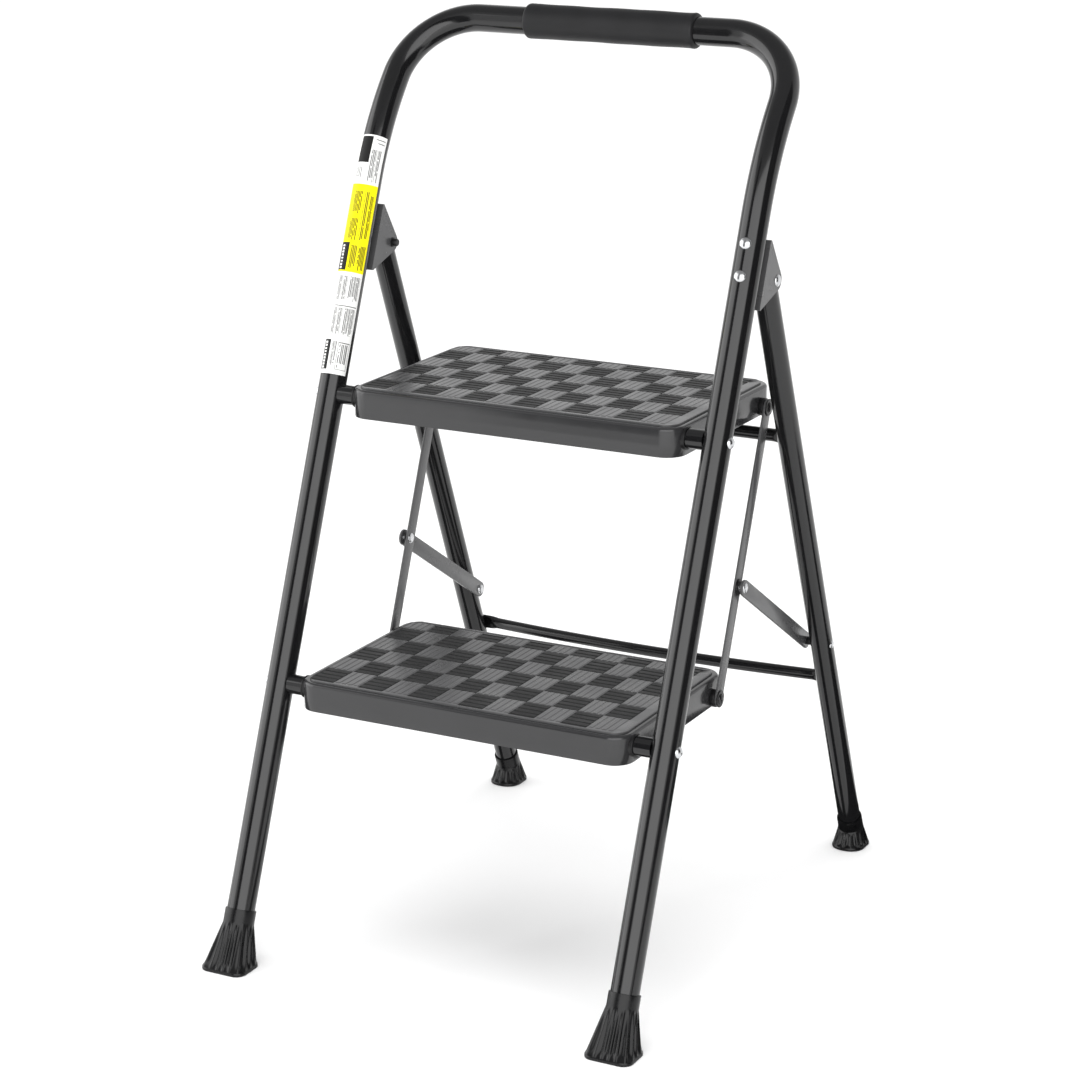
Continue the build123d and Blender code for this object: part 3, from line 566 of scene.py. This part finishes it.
# Steps: a pressed tray upside down, one profile of (inset, height) carried round a rounded rectangle.
step = dict(halfWidth=175.0, halfDepth=110.5, corner=20.0, ahead=21.4, treadAboveAxle=11.8, skirt=28.0,
            sheet=1.5, round=3.0, topInsets=(14, 8, 5), wallHeights=(-9, -16), hemTop=0.6,
            hem=((0.25, 0.15), (0.75, 0.0), (1.25, 0.15)), cornerPoints=12, sidePoints=16)


def stepPan(middleY, treadZ):
    bend = np.linspace(0, pi / 2, 8)
    big, small, sheet, skirt = step["round"], step["round"] - step["sheet"], step["sheet"], step["skirt"]
    outer = np.stack([big - big * np.sin(bend), -big + big * np.cos(bend)], 1)
    inner = np.stack([big - small * np.sin(bend), -big + small * np.cos(bend)], 1)[::-1]
    down = [(0, height) for height in step["wallHeights"]] + [(0, step["hemTop"] - skirt)]
    hem = [(inset, rise - skirt) for inset, rise in step["hem"]]
    up = [(sheet, height) for _, height in down[::-1]]
    profile = np.vstack([[(inset, 0) for inset in step["topInsets"]], outer, down, hem, up, inner,
                         [(inset, -sheet) for inset in step["topInsets"][::-1]]])
    loops = []
    for inset, height in profile:
        loop = roundedLoop(step["halfWidth"] - inset, step["halfDepth"] - inset, step["corner"] - inset)
        loops.append(np.column_stack([loop + [0, middleY], np.full(len(loop), treadZ + height)]))
    return skin(np.stack(loops))


# Tread mat: a height field over a grid whose lines follow the ribs. Each tile carries four ribs, along X on
# dark tiles and along Y on light ones (their dark and light colours are painted shade and painted sheen);
# grid lines are drawn in towards the rounded corners.
mat = dict(halfWidth=169.0, halfDepth=104.5, corner=14.0, thickness=1.6, border=1.15, floor=0.45, rib=1.3,
           lightFloor=1.05, lightRib=1.45, tileX=27.0, tileY=35.4, firstX=-166.5, firstY=12.2, lastY=210.0,
           columns=12, rows=6, ribs=4, groove=0.9, slope=0.75, tileGap=0.35, tileSlope=0.6, lip=2.6,
           lipSlope=0.6, edgeLines=(0.0, 0.35, 1.0), edgeSteps=((0.3, 0.45), (0.9, 0.1)), clear=3.4,
           cornerReach=3.0, finest=0.12)


# 0 in a groove, 1 on a rib, with straight slopes, for a distance along the repeat.
def ribHeight(distance, pitch):
    near = np.minimum(distance % pitch, pitch - distance % pitch)
    return np.clip((near - mat["groove"]) / mat["slope"], 0, 1)


# 0 at a tile's edges and 1 inside them, for a distance along the tile.
def tileEnd(distance, tile):
    return np.clip((np.minimum(distance, tile - distance) - mat["tileGap"]) / mat["tileSlope"], 0, 1)


# The grid's lines one way: at each rib's slopes, at each tile's ends, and at the mat's lip and edge.
def matLines(first, last, tile, count, halfSize):
    pitch = tile / mat["ribs"]
    marks = np.array([0, mat["groove"], mat["groove"] + mat["slope"], pitch / 2])
    marks = np.concatenate([marks, pitch - marks[1:3]])
    ribLines = (np.arange(count * mat["ribs"])[:, None] * pitch + marks).ravel()
    near, far = mat["tileGap"], mat["tileGap"] + mat["tileSlope"]
    ends = (np.arange(count)[:, None] * tile + np.array([near, far, tile - far, tile - near])).ravel()
    lines = first + np.concatenate([ribLines, ends, [count * tile]])
    lines = lines[(lines > -halfSize + mat["clear"]) & (lines < min(last, halfSize - mat["clear"]))]
    edge = np.array([*mat["edgeLines"], mat["lip"], mat["lip"] + mat["lipSlope"]])
    lines = np.unique(np.round(np.concatenate([-halfSize + edge, lines, [last], halfSize - edge]), 2))
    return lines[np.insert(np.diff(lines) > mat["finest"], 0, True)]


def treadMat(middleY, treadZ, frontEdge):
    halfX, halfY, corner, thickness = mat["halfWidth"], mat["halfDepth"], mat["corner"], mat["thickness"]
    firstX, firstY = mat["firstX"], frontEdge + mat["firstY"] - middleY
    lastX, lastY = firstX + mat["columns"] * mat["tileX"], frontEdge + mat["lastY"] - middleY
    xs = matLines(firstX, lastX, mat["tileX"], mat["columns"], halfX)
    ys = matLines(firstY, lastY, mat["tileY"], mat["rows"], halfY)
    x, y = np.meshgrid(xs, ys)
    # half-width of the outline at each line: full, less what the corner circle takes away
    into = np.clip(np.abs(ys) - (halfY - corner), 0, corner)
    half = halfX - corner + np.sqrt(corner ** 2 - into ** 2)
    hold = halfX - corner - mat["cornerReach"]
    beyond = np.abs(x) - hold
    drawnIn = np.sign(x) * (hold + beyond * ((half - hold) / (halfX - hold))[:, None])
    x = np.where(beyond > 0, drawnIn, x)
    inTiles = (x > firstX) & (x < lastX) & (y > firstY) & (y < lastY)
    # dark picks the X-ribbed tiles, which get the painted shade in the mat's colour
    dark = (np.floor((x - firstX) / mat["tileX"]) + np.floor((y - firstY) / mat["tileY"])) % 2 == 0
    alongX, alongY = (x - firstX) % mat["tileX"], (y - firstY) % mat["tileY"]
    darkRib = ribHeight(alongY, mat["tileY"] / mat["ribs"]) * tileEnd(alongX, mat["tileX"])
    lightRib = ribHeight(alongX, mat["tileX"] / mat["ribs"]) * tileEnd(alongY, mat["tileY"])
    darkRise = mat["floor"] + (mat["rib"] - mat["floor"]) * darkRib
    lightRise = mat["lightFloor"] + (mat["lightRib"] - mat["lightFloor"]) * lightRib
    inset = np.minimum(half[:, None] - np.abs(x), halfY - np.abs(y))
    lip = np.clip(1 - (inset - mat["lip"]) / mat["lipSlope"], 0, 1)
    borderRise = mat["border"] + (thickness - mat["border"]) * lip
    rise = np.where(inTiles, np.where(dark, darkRise, lightRise), borderRise)
    for reach, drop in mat["edgeSteps"][::-1]:
        rise = np.where(inset < reach, thickness - drop, rise)
    top = np.stack([x, y + middleY, treadZ + rise], 2)
    rows, columns = x.shape
    index = np.arange(rows * columns).reshape(rows, columns)
    corners = index[:-1, :-1], index[:-1, 1:], index[1:, 1:], index[1:, :-1]
    quads = np.stack([corner.ravel() for corner in corners], axis=1)
    # a wall from the outline down to the step, and a flat underside
    rim = np.concatenate([index[0, :-1], index[:-1, -1], index[-1, :0:-1], index[:0:-1, 0]])
    points = top.reshape(-1, 3)
    foot = points[rim] * [1, 1, 0] + [0, 0, treadZ]
    footIndex = len(points) + np.arange(len(rim))
    wall = np.stack([rim, footIndex, np.roll(footIndex, -1), np.roll(rim, -1)], 1)
    centre = np.full(len(rim), len(points) + len(rim))
    under = np.stack([footIndex, centre, np.roll(footIndex, -1)], 1)
    points = np.vstack([points, foot, [[0, middleY, treadZ]]])
    # painted sheen and shade per point: 0 for the tiles painted dark, 1 for the tiles painted light, the
    # border, the wall and the underside
    paintedSheen = np.concatenate([np.where(inTiles & dark, 0.0, 1.0).ravel(), np.ones(len(rim) + 1)])
    return (points, np.vstack([quads, wall]), under), paintedSheen


# Bushings, spacers, washers and rivets at the steps' sides; faces are measured from the stool's middle.
bushing = dict(bore=9.56, spigot=10.76, spigotIn=3.9, spigotOut=0.3, flange=11.2, flangeWidth=1.9, play=0.1)
linkFit = dict(inner=180.2, outer=182.4, halfWidth=7.4, spacer=8.6, washer=8.3, washerFace=183.7, edge=0.35)
for name, point in axlePoint.items():
    body = f"{name}_step"
    treadZ = point[1] + step["treadAboveAxle"]
    frontEdge = point[0] - step["ahead"]
    middleY = frontEdge + step["halfDepth"]
    pan = stepPan(middleY, treadZ)
    makePiece(f"{name}StepPan", [pan], body, sheetEnamel, f"{name}_step_pan")
    shape, paintedSheen = treadMat(middleY, treadZ, frontEdge)
    tread = makePiece(f"{name}TreadMat", [shape], body, treadVinyl, f"{name}_step_mat", 20.0)
    # the painted sheen and shade go on the mat as a point attribute
    paintedSheenTone = tread.data.attributes.new("paintedSheenTone", "FLOAT", "POINT")
    paintedSheenTone.data.foreach_set("value", paintedSheen.astype(np.float32))
    face, pivot, bore = step["halfWidth"] + bushing["play"], linkPoint[name], heads["bore"]
    bushings = pair(collar, point, bushing["bore"], bushing["flange"], face, face + bushing["flangeWidth"],
                    0.5)
    bushings += pair(collar, point, bushing["bore"], bushing["spigot"], face + bushing["spigotOut"],
                     face - bushing["spigotIn"], 0.3)
    makePiece(f"{name}StepBushings", bushings, body, blackNylon, f"{name}_step_bushings")
    spacers = pair(collar, pivot, bore, linkFit["spacer"], face - 0.05, linkFit["inner"] - 0.1, 0.5)
    makePiece(f"{name}LinkSpacers", spacers, body, blackNylon, f"{name}_link_spacers")
    under = linkFit["outer"] + 0.1
    washers = pair(collar, pivot, bore, linkFit["washer"], under, linkFit["washerFace"], 0.35)
    makePiece(f"{name}LinkWashers", washers, body, blackNylon, f"{name}_link_washers")
    tail, end = step["halfWidth"] - step["sheet"] - 0.1, linkFit["washerFace"] + 0.05
    rivets = pair(crossPin, pivot, heads["shank"], tail, end, heads["flat"], heads["rivet"])
    makePiece(f"{name}LinkRivets", rivets, body, tubeEnamel, f"{name}_link_rivets")
    print(name, "step made")


# Flat bar with round ends: a stadium about the line between two pivots, with its edges rounded.
def flatBar(first, second, size, side):
    line = (second - first) / np.linalg.norm(second - first)
    square = np.array([-line[1], line[0]])
    turn = np.linspace(-pi / 2, pi / 2, 20)[:, None]

    def outline(inset):
        arc = (size["halfWidth"] - inset) * (np.cos(turn) * line + np.sin(turn) * square)
        far, near = second + arc, first - arc
        return np.vstack([far, np.linspace(far[-1], near[0], 12)[1:-1],
                          near, np.linspace(near[-1], far[0], 12)[1:-1]])

    bend, edge = np.linspace(0, pi / 2, 4), size["edge"]
    low, high = sorted((side * size["inner"], side * size["outer"]))
    profile = [(edge - edge * sin(a), low + edge - edge * cos(a)) for a in bend]
    profile += [(edge - edge * cos(a), high - edge + edge * sin(a)) for a in bend]
    loops = [np.insert(outline(inset), 0, x, axis=1) for inset, x in profile]
    return skin(np.stack(loops))


# Links with a washer and rivet at mid-length, and braces, each with a stud that ends against its link.
brace = dict(inner=187.6, outer=190.0, halfWidth=8.0, spacer=4.2, studFace=184.0, edge=0.35)
for name, side in sides.items():
    link, body = f"link_{name}", f"brace_{name}"
    linkBar = flatBar(linkPoint["bottom"], linkPoint["top"], linkFit, side)
    makePiece(f"linkBar_{name}", [linkBar], link, barEnamel, link)
    face, shank, under = linkFit["washerFace"], heads["shank"], linkFit["inner"] - 0.05
    washer = collar(braceHigh, heads["bore"], linkFit["washer"], linkFit["outer"] + 0.05, face, 0.35, side)
    makePiece(f"linkMiddleWasher_{name}", [washer], link, blackNylon, f"link_middle_washer_{name}")
    tail = [(shank, under), (shank, face - 0.2), (2.6, face)]
    rivet = np.vstack([domeInwards(*heads["flat"], under), tail])
    rivet = turnedAcross(rivet, braceHigh, side)
    makePiece(f"linkMiddleRivet_{name}", [rivet], link, zincSteel, f"link_middle_rivet_{name}")
    makePiece(f"braceBar_{name}", [flatBar(braceLow, braceHigh, brace, side)], body, barEnamel, body)
    radius, start = brace["spacer"], brace["studFace"]
    under, face = brace["inner"] - 0.05, brace["outer"] + 0.05
    stem = [(radius - 0.3, start), (radius, start + 0.3), (radius, under), (shank, under), (shank, face)]
    stud = np.vstack([stem, domeProfile(*heads["low"]) + [0, face]])
    stud = turnedAcross(stud, braceHigh, side)
    makePiece(f"braceStud_{name}", [stud], body, zincSteel, f"brace_stud_{name}")

# Lower brace rivets: inner head and shank through brace, spacer and leg, then a domed head outside.
outerFace = legX + rearLeg["radius"]
under, shank, small = brace["inner"] - 0.1, heads["shank"], heads["small"]
inside = np.vstack([domeInwards(*heads["rivet"], under), [(shank, under), (shank, outerFace - 2.2)]])
outside = np.vstack([[(small[0], outerFace - 1.9)], domeProfile(*small, outerFace - 1.1)])
makePiece("braceRivets", pair(turnedAcross, inside, braceLow), "rear_frame", zincSteel, "brace_rivets")
makePiece("braceRivetHeads", pair(turnedAcross, outside, braceLow), "rear_frame", zincSteel)
spacers = pair(collar, braceLow, heads["bore"], brace["spacer"], brace["outer"] + 0.1,
               legX - rearLeg["radius"] + 0.6, 0.2)
makePiece("braceSpacers", spacers, "rear_frame", blackNylon, "brace_spacers")
print("links and braces made")


# Crossbars: a section that goes from round to a flat tab near each leg, along a slightly bowed line.
crossbar = dict(heights={"upper": 481.6, "lower": 201.6}, radii={"upper": 6.35, "lower": 5.75},
                bows={"upper": 0.0, "lower": 10.0}, behind=13.1, roundHalf=184.0, flatStart=197.0,
                flatEnd=211.0, flatThickness=3.0, flatHeight=17.0, endRound=6.0, endShare=0.45)


# A superellipse: sign(cos a) |cos a|^p thick behind and sign(sin a) |sin a|^p tall up, p from 1 down to 1/3.
def crossbarSkin(name):
    radius, bow, endRound = crossbar["radii"][name], crossbar["bows"][name], crossbar["endRound"]
    roundHalf, flatStart, flatEnd = crossbar["roundHalf"], crossbar["flatStart"], crossbar["flatEnd"]
    y, z = rearPoint(crossbar["heights"][name], crossbar["behind"])
    middle = np.linspace(-roundHalf, roundHalf, 33)
    tab = np.linspace(roundHalf, flatStart, 9)[1:]
    end = flatEnd - endRound + endRound * np.sin(np.linspace(0, pi / 2, 8))
    x = np.concatenate([-end[::-1], -tab[::-1], middle, tab, end])
    press = np.clip((np.abs(x) - roundHalf) / (flatStart - roundHalf), 0, 1)
    press = press * press * (3 - 2 * press)
    thick = radius + (crossbar["flatThickness"] / 2 - radius) * press
    tall = radius + (crossbar["flatHeight"] / 2 - radius) * press
    rounding = np.clip((np.abs(x) - flatEnd + endRound) / endRound, 0, 1)
    tall *= crossbar["endShare"] + (1 - crossbar["endShare"]) * np.sqrt(1 - rounding ** 2)
    power = 2 / (2 + 4 * press)
    bowed = -bow * np.clip(1 - (x / roundHalf) ** 2, 0, 1)
    turn = np.linspace(0, 2 * pi, 48, endpoint=False)
    cosine, sine = np.cos(turn), np.sin(turn)
    flatPart = np.sign(cosine) * np.abs(cosine) ** power[:, None] * thick[:, None]
    tallPart = np.sign(sine) * np.abs(sine) ** power[:, None] * tall[:, None]
    centre = np.stack([x, y + bowed, np.full_like(x, z)], 1)
    return skin(centre[:, None] + flatPart[..., None] * behindRear + tallPart[..., None] * upRear)


for name in crossbar["heights"]:
    bar = crossbarSkin(name)
    makePiece(f"{name}Crossbar", [bar], "rear_frame", tubeEnamel, f"{name}_crossbar")

# Blind rivets that hold the tabs: a shank from inside the leg and a dome on the tab's back.
tabBack = crossbar["behind"] + crossbar["flatThickness"] / 2 + 0.05
shank = heads["thinShank"]
profile = np.vstack([[(shank, 6.0), (shank, tabBack)], domeProfile(*heads["rivet"], tabBack)])
blindRivets = [turned(profile, (side * legX, *rearPoint(height)), behindRear)
               for side in sides.values() for height in crossbar["heights"].values()]
makePiece("crossbarRivets", blindRivets, "rear_frame", zincSteel, "crossbar_rivets")
print("crossbars made")


# Rubber boots: the outline morphs from a rounded base to a collar round the leg; between them it is fluted,
# each flute a narrow ridge that starts under the smooth band and grows towards the base lip.
frontBoot = dict(base=(48.0, 38.0), corner=10.0, shiftY=-2.0, lip=3.6, collarLow=43.0, collarLength=13.0,
                 wall=1.6, flutes=18, depth=2.5, smoothShare=0.0)
rearBoot = dict(base=(35.0, 43.0), corner=16.0, shiftY=-7.9, lip=3.4, collarLow=25.0, collarLength=12.5,
                wall=1.6, flutes=16, depth=2.0, smoothShare=0.1)
flare = dict(around=264, rows=22, easePower=0.82, ridgePower=1.6, growRate=1.6, growPower=0.7, startRate=14,
             baseShares=(0.2, 0.97, 1.0, 1.0, 0.975))


# Between them: lip (1 - e) + collar e, e = share^0.82, less the flutes' depth (1 - (1/2 + cos(n a) / 2)^1.6).
def bootSkin(boot, side, toe, up, behind, tubeRadius):
    angle = np.linspace(0, 2 * pi, flare["around"], endpoint=False)
    halfX, halfY, corner = boot["base"][0] / 2, boot["base"][1] / 2, boot["corner"]
    # distance from the middle of a rounded rectangle to its outline: march out until past its edge
    reach = np.linspace(0, 60, 1201)
    direction = np.stack([np.cos(angle), np.sin(angle)], 1)
    past = np.abs(reach[None, :, None] * direction[:, None]) - [halfX - corner, halfY - corner]
    outside = np.linalg.norm(np.clip(past, 0, None), axis=2) + np.clip(past.max(2), None, 0) - corner
    edge = reach[np.argmax(outside > 0, axis=1)]
    middle = np.array([side * legX, toe + boot["shiftY"], 0.0])
    spread = np.column_stack([edge[:, None] * direction, np.zeros(len(angle))])
    radius = tubeRadius + boot["wall"]
    legLine = np.array([side * legX, toe, 0.0])
    ringOut = np.cos(angle)[:, None] * across + np.sin(angle)[:, None] * behind
    collarMiddle = legLine + boot["collarLow"] * up
    low = collarMiddle + radius * ringOut
    high = legLine + (boot["collarLow"] + boot["collarLength"]) * up
    valley = 1 - ((0.5 + 0.5 * np.cos(angle * boot["flutes"])) ** flare["ridgePower"])[:, None]
    lip = boot["lip"]
    baseHeights = (0, 0, 0.5, 0.75 * lip, lip)
    rows = [middle + share * spread + [0, 0, height]
            for share, height in zip(flare["baseShares"], baseHeights)]
    lipTop = rows[-1]
    for share in np.linspace(0.0, 1.0, flare["rows"]):
        # smooth ease so the flare leaves the lip outward and meets the collar in line with the leg
        ease = share ** flare["easePower"]
        level = lipTop * (1 - ease) + low * ease
        left = np.clip((1 - share - boot["smoothShare"]) * flare["growRate"], 0, 1)
        start = min(share * flare["startRate"], 1.0)
        outward = (level - middle * (1 - ease) - collarMiddle * ease) * [1, 1, 0]
        outward /= np.linalg.norm(outward, axis=1)[:, None]
        rows.append(level - outward * boot["depth"] * left ** flare["growPower"] * start * valley)
    rows += [low + boot["collarLength"] * share * up for share in (0.06, 0.5, 0.94)]
    # the collar's rounded rim, then a short way down inside it
    rims = ((radius - 0.15, 0), (radius - 0.6, 0), (tubeRadius + 0.05, 0.4), (tubeRadius - 1.0, 2.0))
    rows += [high + rim * ringOut - down * up for rim, down in rims]
    return skin(np.stack(rows))


for name, side in sides.items():
    boot = bootSkin(frontBoot, side, stool["frontToe"], upFront, behindFront, frontFrame["radius"])
    makePiece(f"frontFoot_{name}", [boot], "front_frame", bootRubber, f"front_foot_{name}", 50.0)
    boot = bootSkin(rearBoot, side, stool["rearToe"], upRear, behindRear, rearLeg["radius"])
    makePiece(f"rearFoot_{name}", [boot], "rear_frame", bootRubber, f"rear_foot_{name}", 50.0)
for name in sides:
    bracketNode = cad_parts[f"hinge_bracket_{name}"]
    bracketNode.data.materials.clear()
    bracketNode.data.materials.append(barEnamel)
print("feet made")


# Studio, in metres: a pale floor, a white surround that dims towards the zenith, a soft panel in front and
# one on the left, a broad fill from overhead, and black flags, seen only in reflections, that draw the thin
# dark lines along the tubes. Places are (degrees to the right of the camera, distance, height).
studio = dict(azimuth=27.6096, elevation=16.3084, camera=(1.29358, -2.50862, 1.20829), lens=100.2436,
              horizon=1.05, zenith=0.35, overhead=2.0, aim=(0, 0, 0.45),
              frontPanel=(4.6, 3.2, 96.0), frontPlace=(0, 3.4, 1.7),
              sidePanel=(3.4, 3.0, 60.0), sidePlace=(-95, 3.2, 1.4),
              flags=((-45.0, 0.75), (62.0, 1.8)), flagDistance=2.2, flagMiddle=0.9, flagHeight=4.4,
              legLines=((-30.0, -16.0), (26.0, 37.0)), legLineTop=0.52, wedgeHeight=0.0015)


def plainMaterial(name, colour, roughness):
    material, _ = newMaterial(name)
    return finishMaterial(material, {"Base Color": toLinear(colour), "Roughness": roughness})


# One flat face in the studio through these corners.
def studioFace(name, corners, material):
    mesh = bpy.data.meshes.new(name)
    mesh.from_pydata([corner.tolist() for corner in corners], [], [tuple(range(len(corners)))])
    mesh.materials.append(material)
    made = bpy.data.objects.new(name, mesh)
    bpy.context.scene.collection.objects.link(made)
    return made


def onlyReflected(flag):
    flag.visible_camera = flag.visible_diffuse = flag.visible_shadow = False


# The level direction at an angle to the right of the camera, seen from the stool.
def aroundStool(degrees):
    angle = radians(studio["azimuth"]) + radians(degrees)
    return np.array([sin(angle), -cos(angle), 0.0])


def softLight(name, place, width, height, power):
    degrees, distance, level = place
    place = aroundStool(degrees) * distance + [0, 0, level]
    lamp = bpy.data.lights.new(name, "AREA")
    lamp.shape, lamp.size, lamp.size_y, lamp.energy = "RECTANGLE", width, height, power
    made = bpy.data.objects.new(name, lamp)
    made.location = place
    away = Vector(place) - Vector(studio["aim"])
    made.rotation_euler = away.to_track_quat("Z", "Y").to_euler()
    bpy.context.scene.collection.objects.link(made)
    made.visible_camera = False


floorCorners = 30.0 * np.array([(-1, -1, 0), (1, -1, 0), (1, 1, 0), (-1, 1, 0)])
studioFace("studioFloor", floorCorners, plainMaterial("pale studio floor", "#f4f4f4", 0.7))
flock = plainMaterial("black flock", "#050505", 0.9)
upright = np.array([0.0, 0.0, 1.0])
for k, (degrees, width) in enumerate(studio["flags"]):
    out = aroundStool(degrees)
    level = np.cross(upright, -out)
    centre = out * studio["flagDistance"] + studio["flagMiddle"] * upright
    corners = [centre + a * level * width / 2 + b * upright * studio["flagHeight"] / 2
               for a, b in ((-1, -1), (1, -1), (1, 1), (-1, 1))]
    onlyReflected(studioFace(f"flag{k}", corners, flock))


# Wedges of black flock flat on the floor, for the dark lines along the rear legs: light that leaves a leg's
# surface at an angle from its middle reaches the floor at its height times this.
def floorReach(degrees):
    toCamera = np.array(studio["camera"]) - [0.0, 0.1, 0.35]
    toCamera /= np.linalg.norm(toCamera)
    facing = toCamera - (toCamera @ upRear) * upRear
    facing /= np.linalg.norm(facing)
    normal = cos(radians(degrees)) * facing + sin(radians(degrees)) * np.cross(upRear, facing)
    ray = 2 * (normal @ toCamera) * normal - toCamera
    return np.array([ray[0] / -ray[2], ray[1] / -ray[2] - tan(rearLean), 0.0])


for k, line in enumerate(studio["legLines"]):
    for side in sides.values():
        foot = np.array([side * legX * mm, stool["rearToe"] * mm, studio["wedgeHeight"]])
        corners = [foot] + [foot + studio["legLineTop"] * floorReach(edge) for edge in line]
        onlyReflected(studioFace(f"floorFlag{k}{side + 1}", corners, flock))

softLight("frontPanel", studio["frontPlace"], *studio["frontPanel"])
softLight("sidePanel", studio["sidePlace"], *studio["sidePanel"])
overhead = bpy.data.lights.new("overheadFill", "SUN")
overhead.energy, overhead.angle = studio["overhead"], radians(60)
overheadFill = bpy.data.objects.new("overheadFill", overhead)
bpy.context.scene.collection.objects.link(overheadFill)
overheadFill.visible_glossy = False
world = bpy.data.worlds.new("studioSurround")
world.use_nodes = True
sky = world.node_tree
ray = addNode(sky, "ShaderNodeTexCoord").outputs["Generated"]
height = addNode(sky, "ShaderNodeSeparateXYZ", {"Vector": ray}).outputs["Z"]
sky.nodes["Background"].inputs["Color"].default_value = (1, 1, 1, 1)
sky.links.new(between(sky, height, studio["horizon"], studio["zenith"], (0.3, 0.8)),
              sky.nodes["Background"].inputs["Strength"])
bpy.context.scene.world = world
bpy.context.scene.view_settings.view_transform = "Standard"

lens = bpy.data.cameras.new("stoolCamera")
lens.lens, lens.sensor_width = studio["lens"], 36.0
camera = bpy.data.objects.new("stoolCamera", lens)
camera.location = studio["camera"]
camera.rotation_euler = (radians(90 - studio["elevation"]), 0, radians(studio["azimuth"]))
bpy.context.scene.collection.objects.link(camera)
bpy.context.scene.camera = camera
print("studio set")
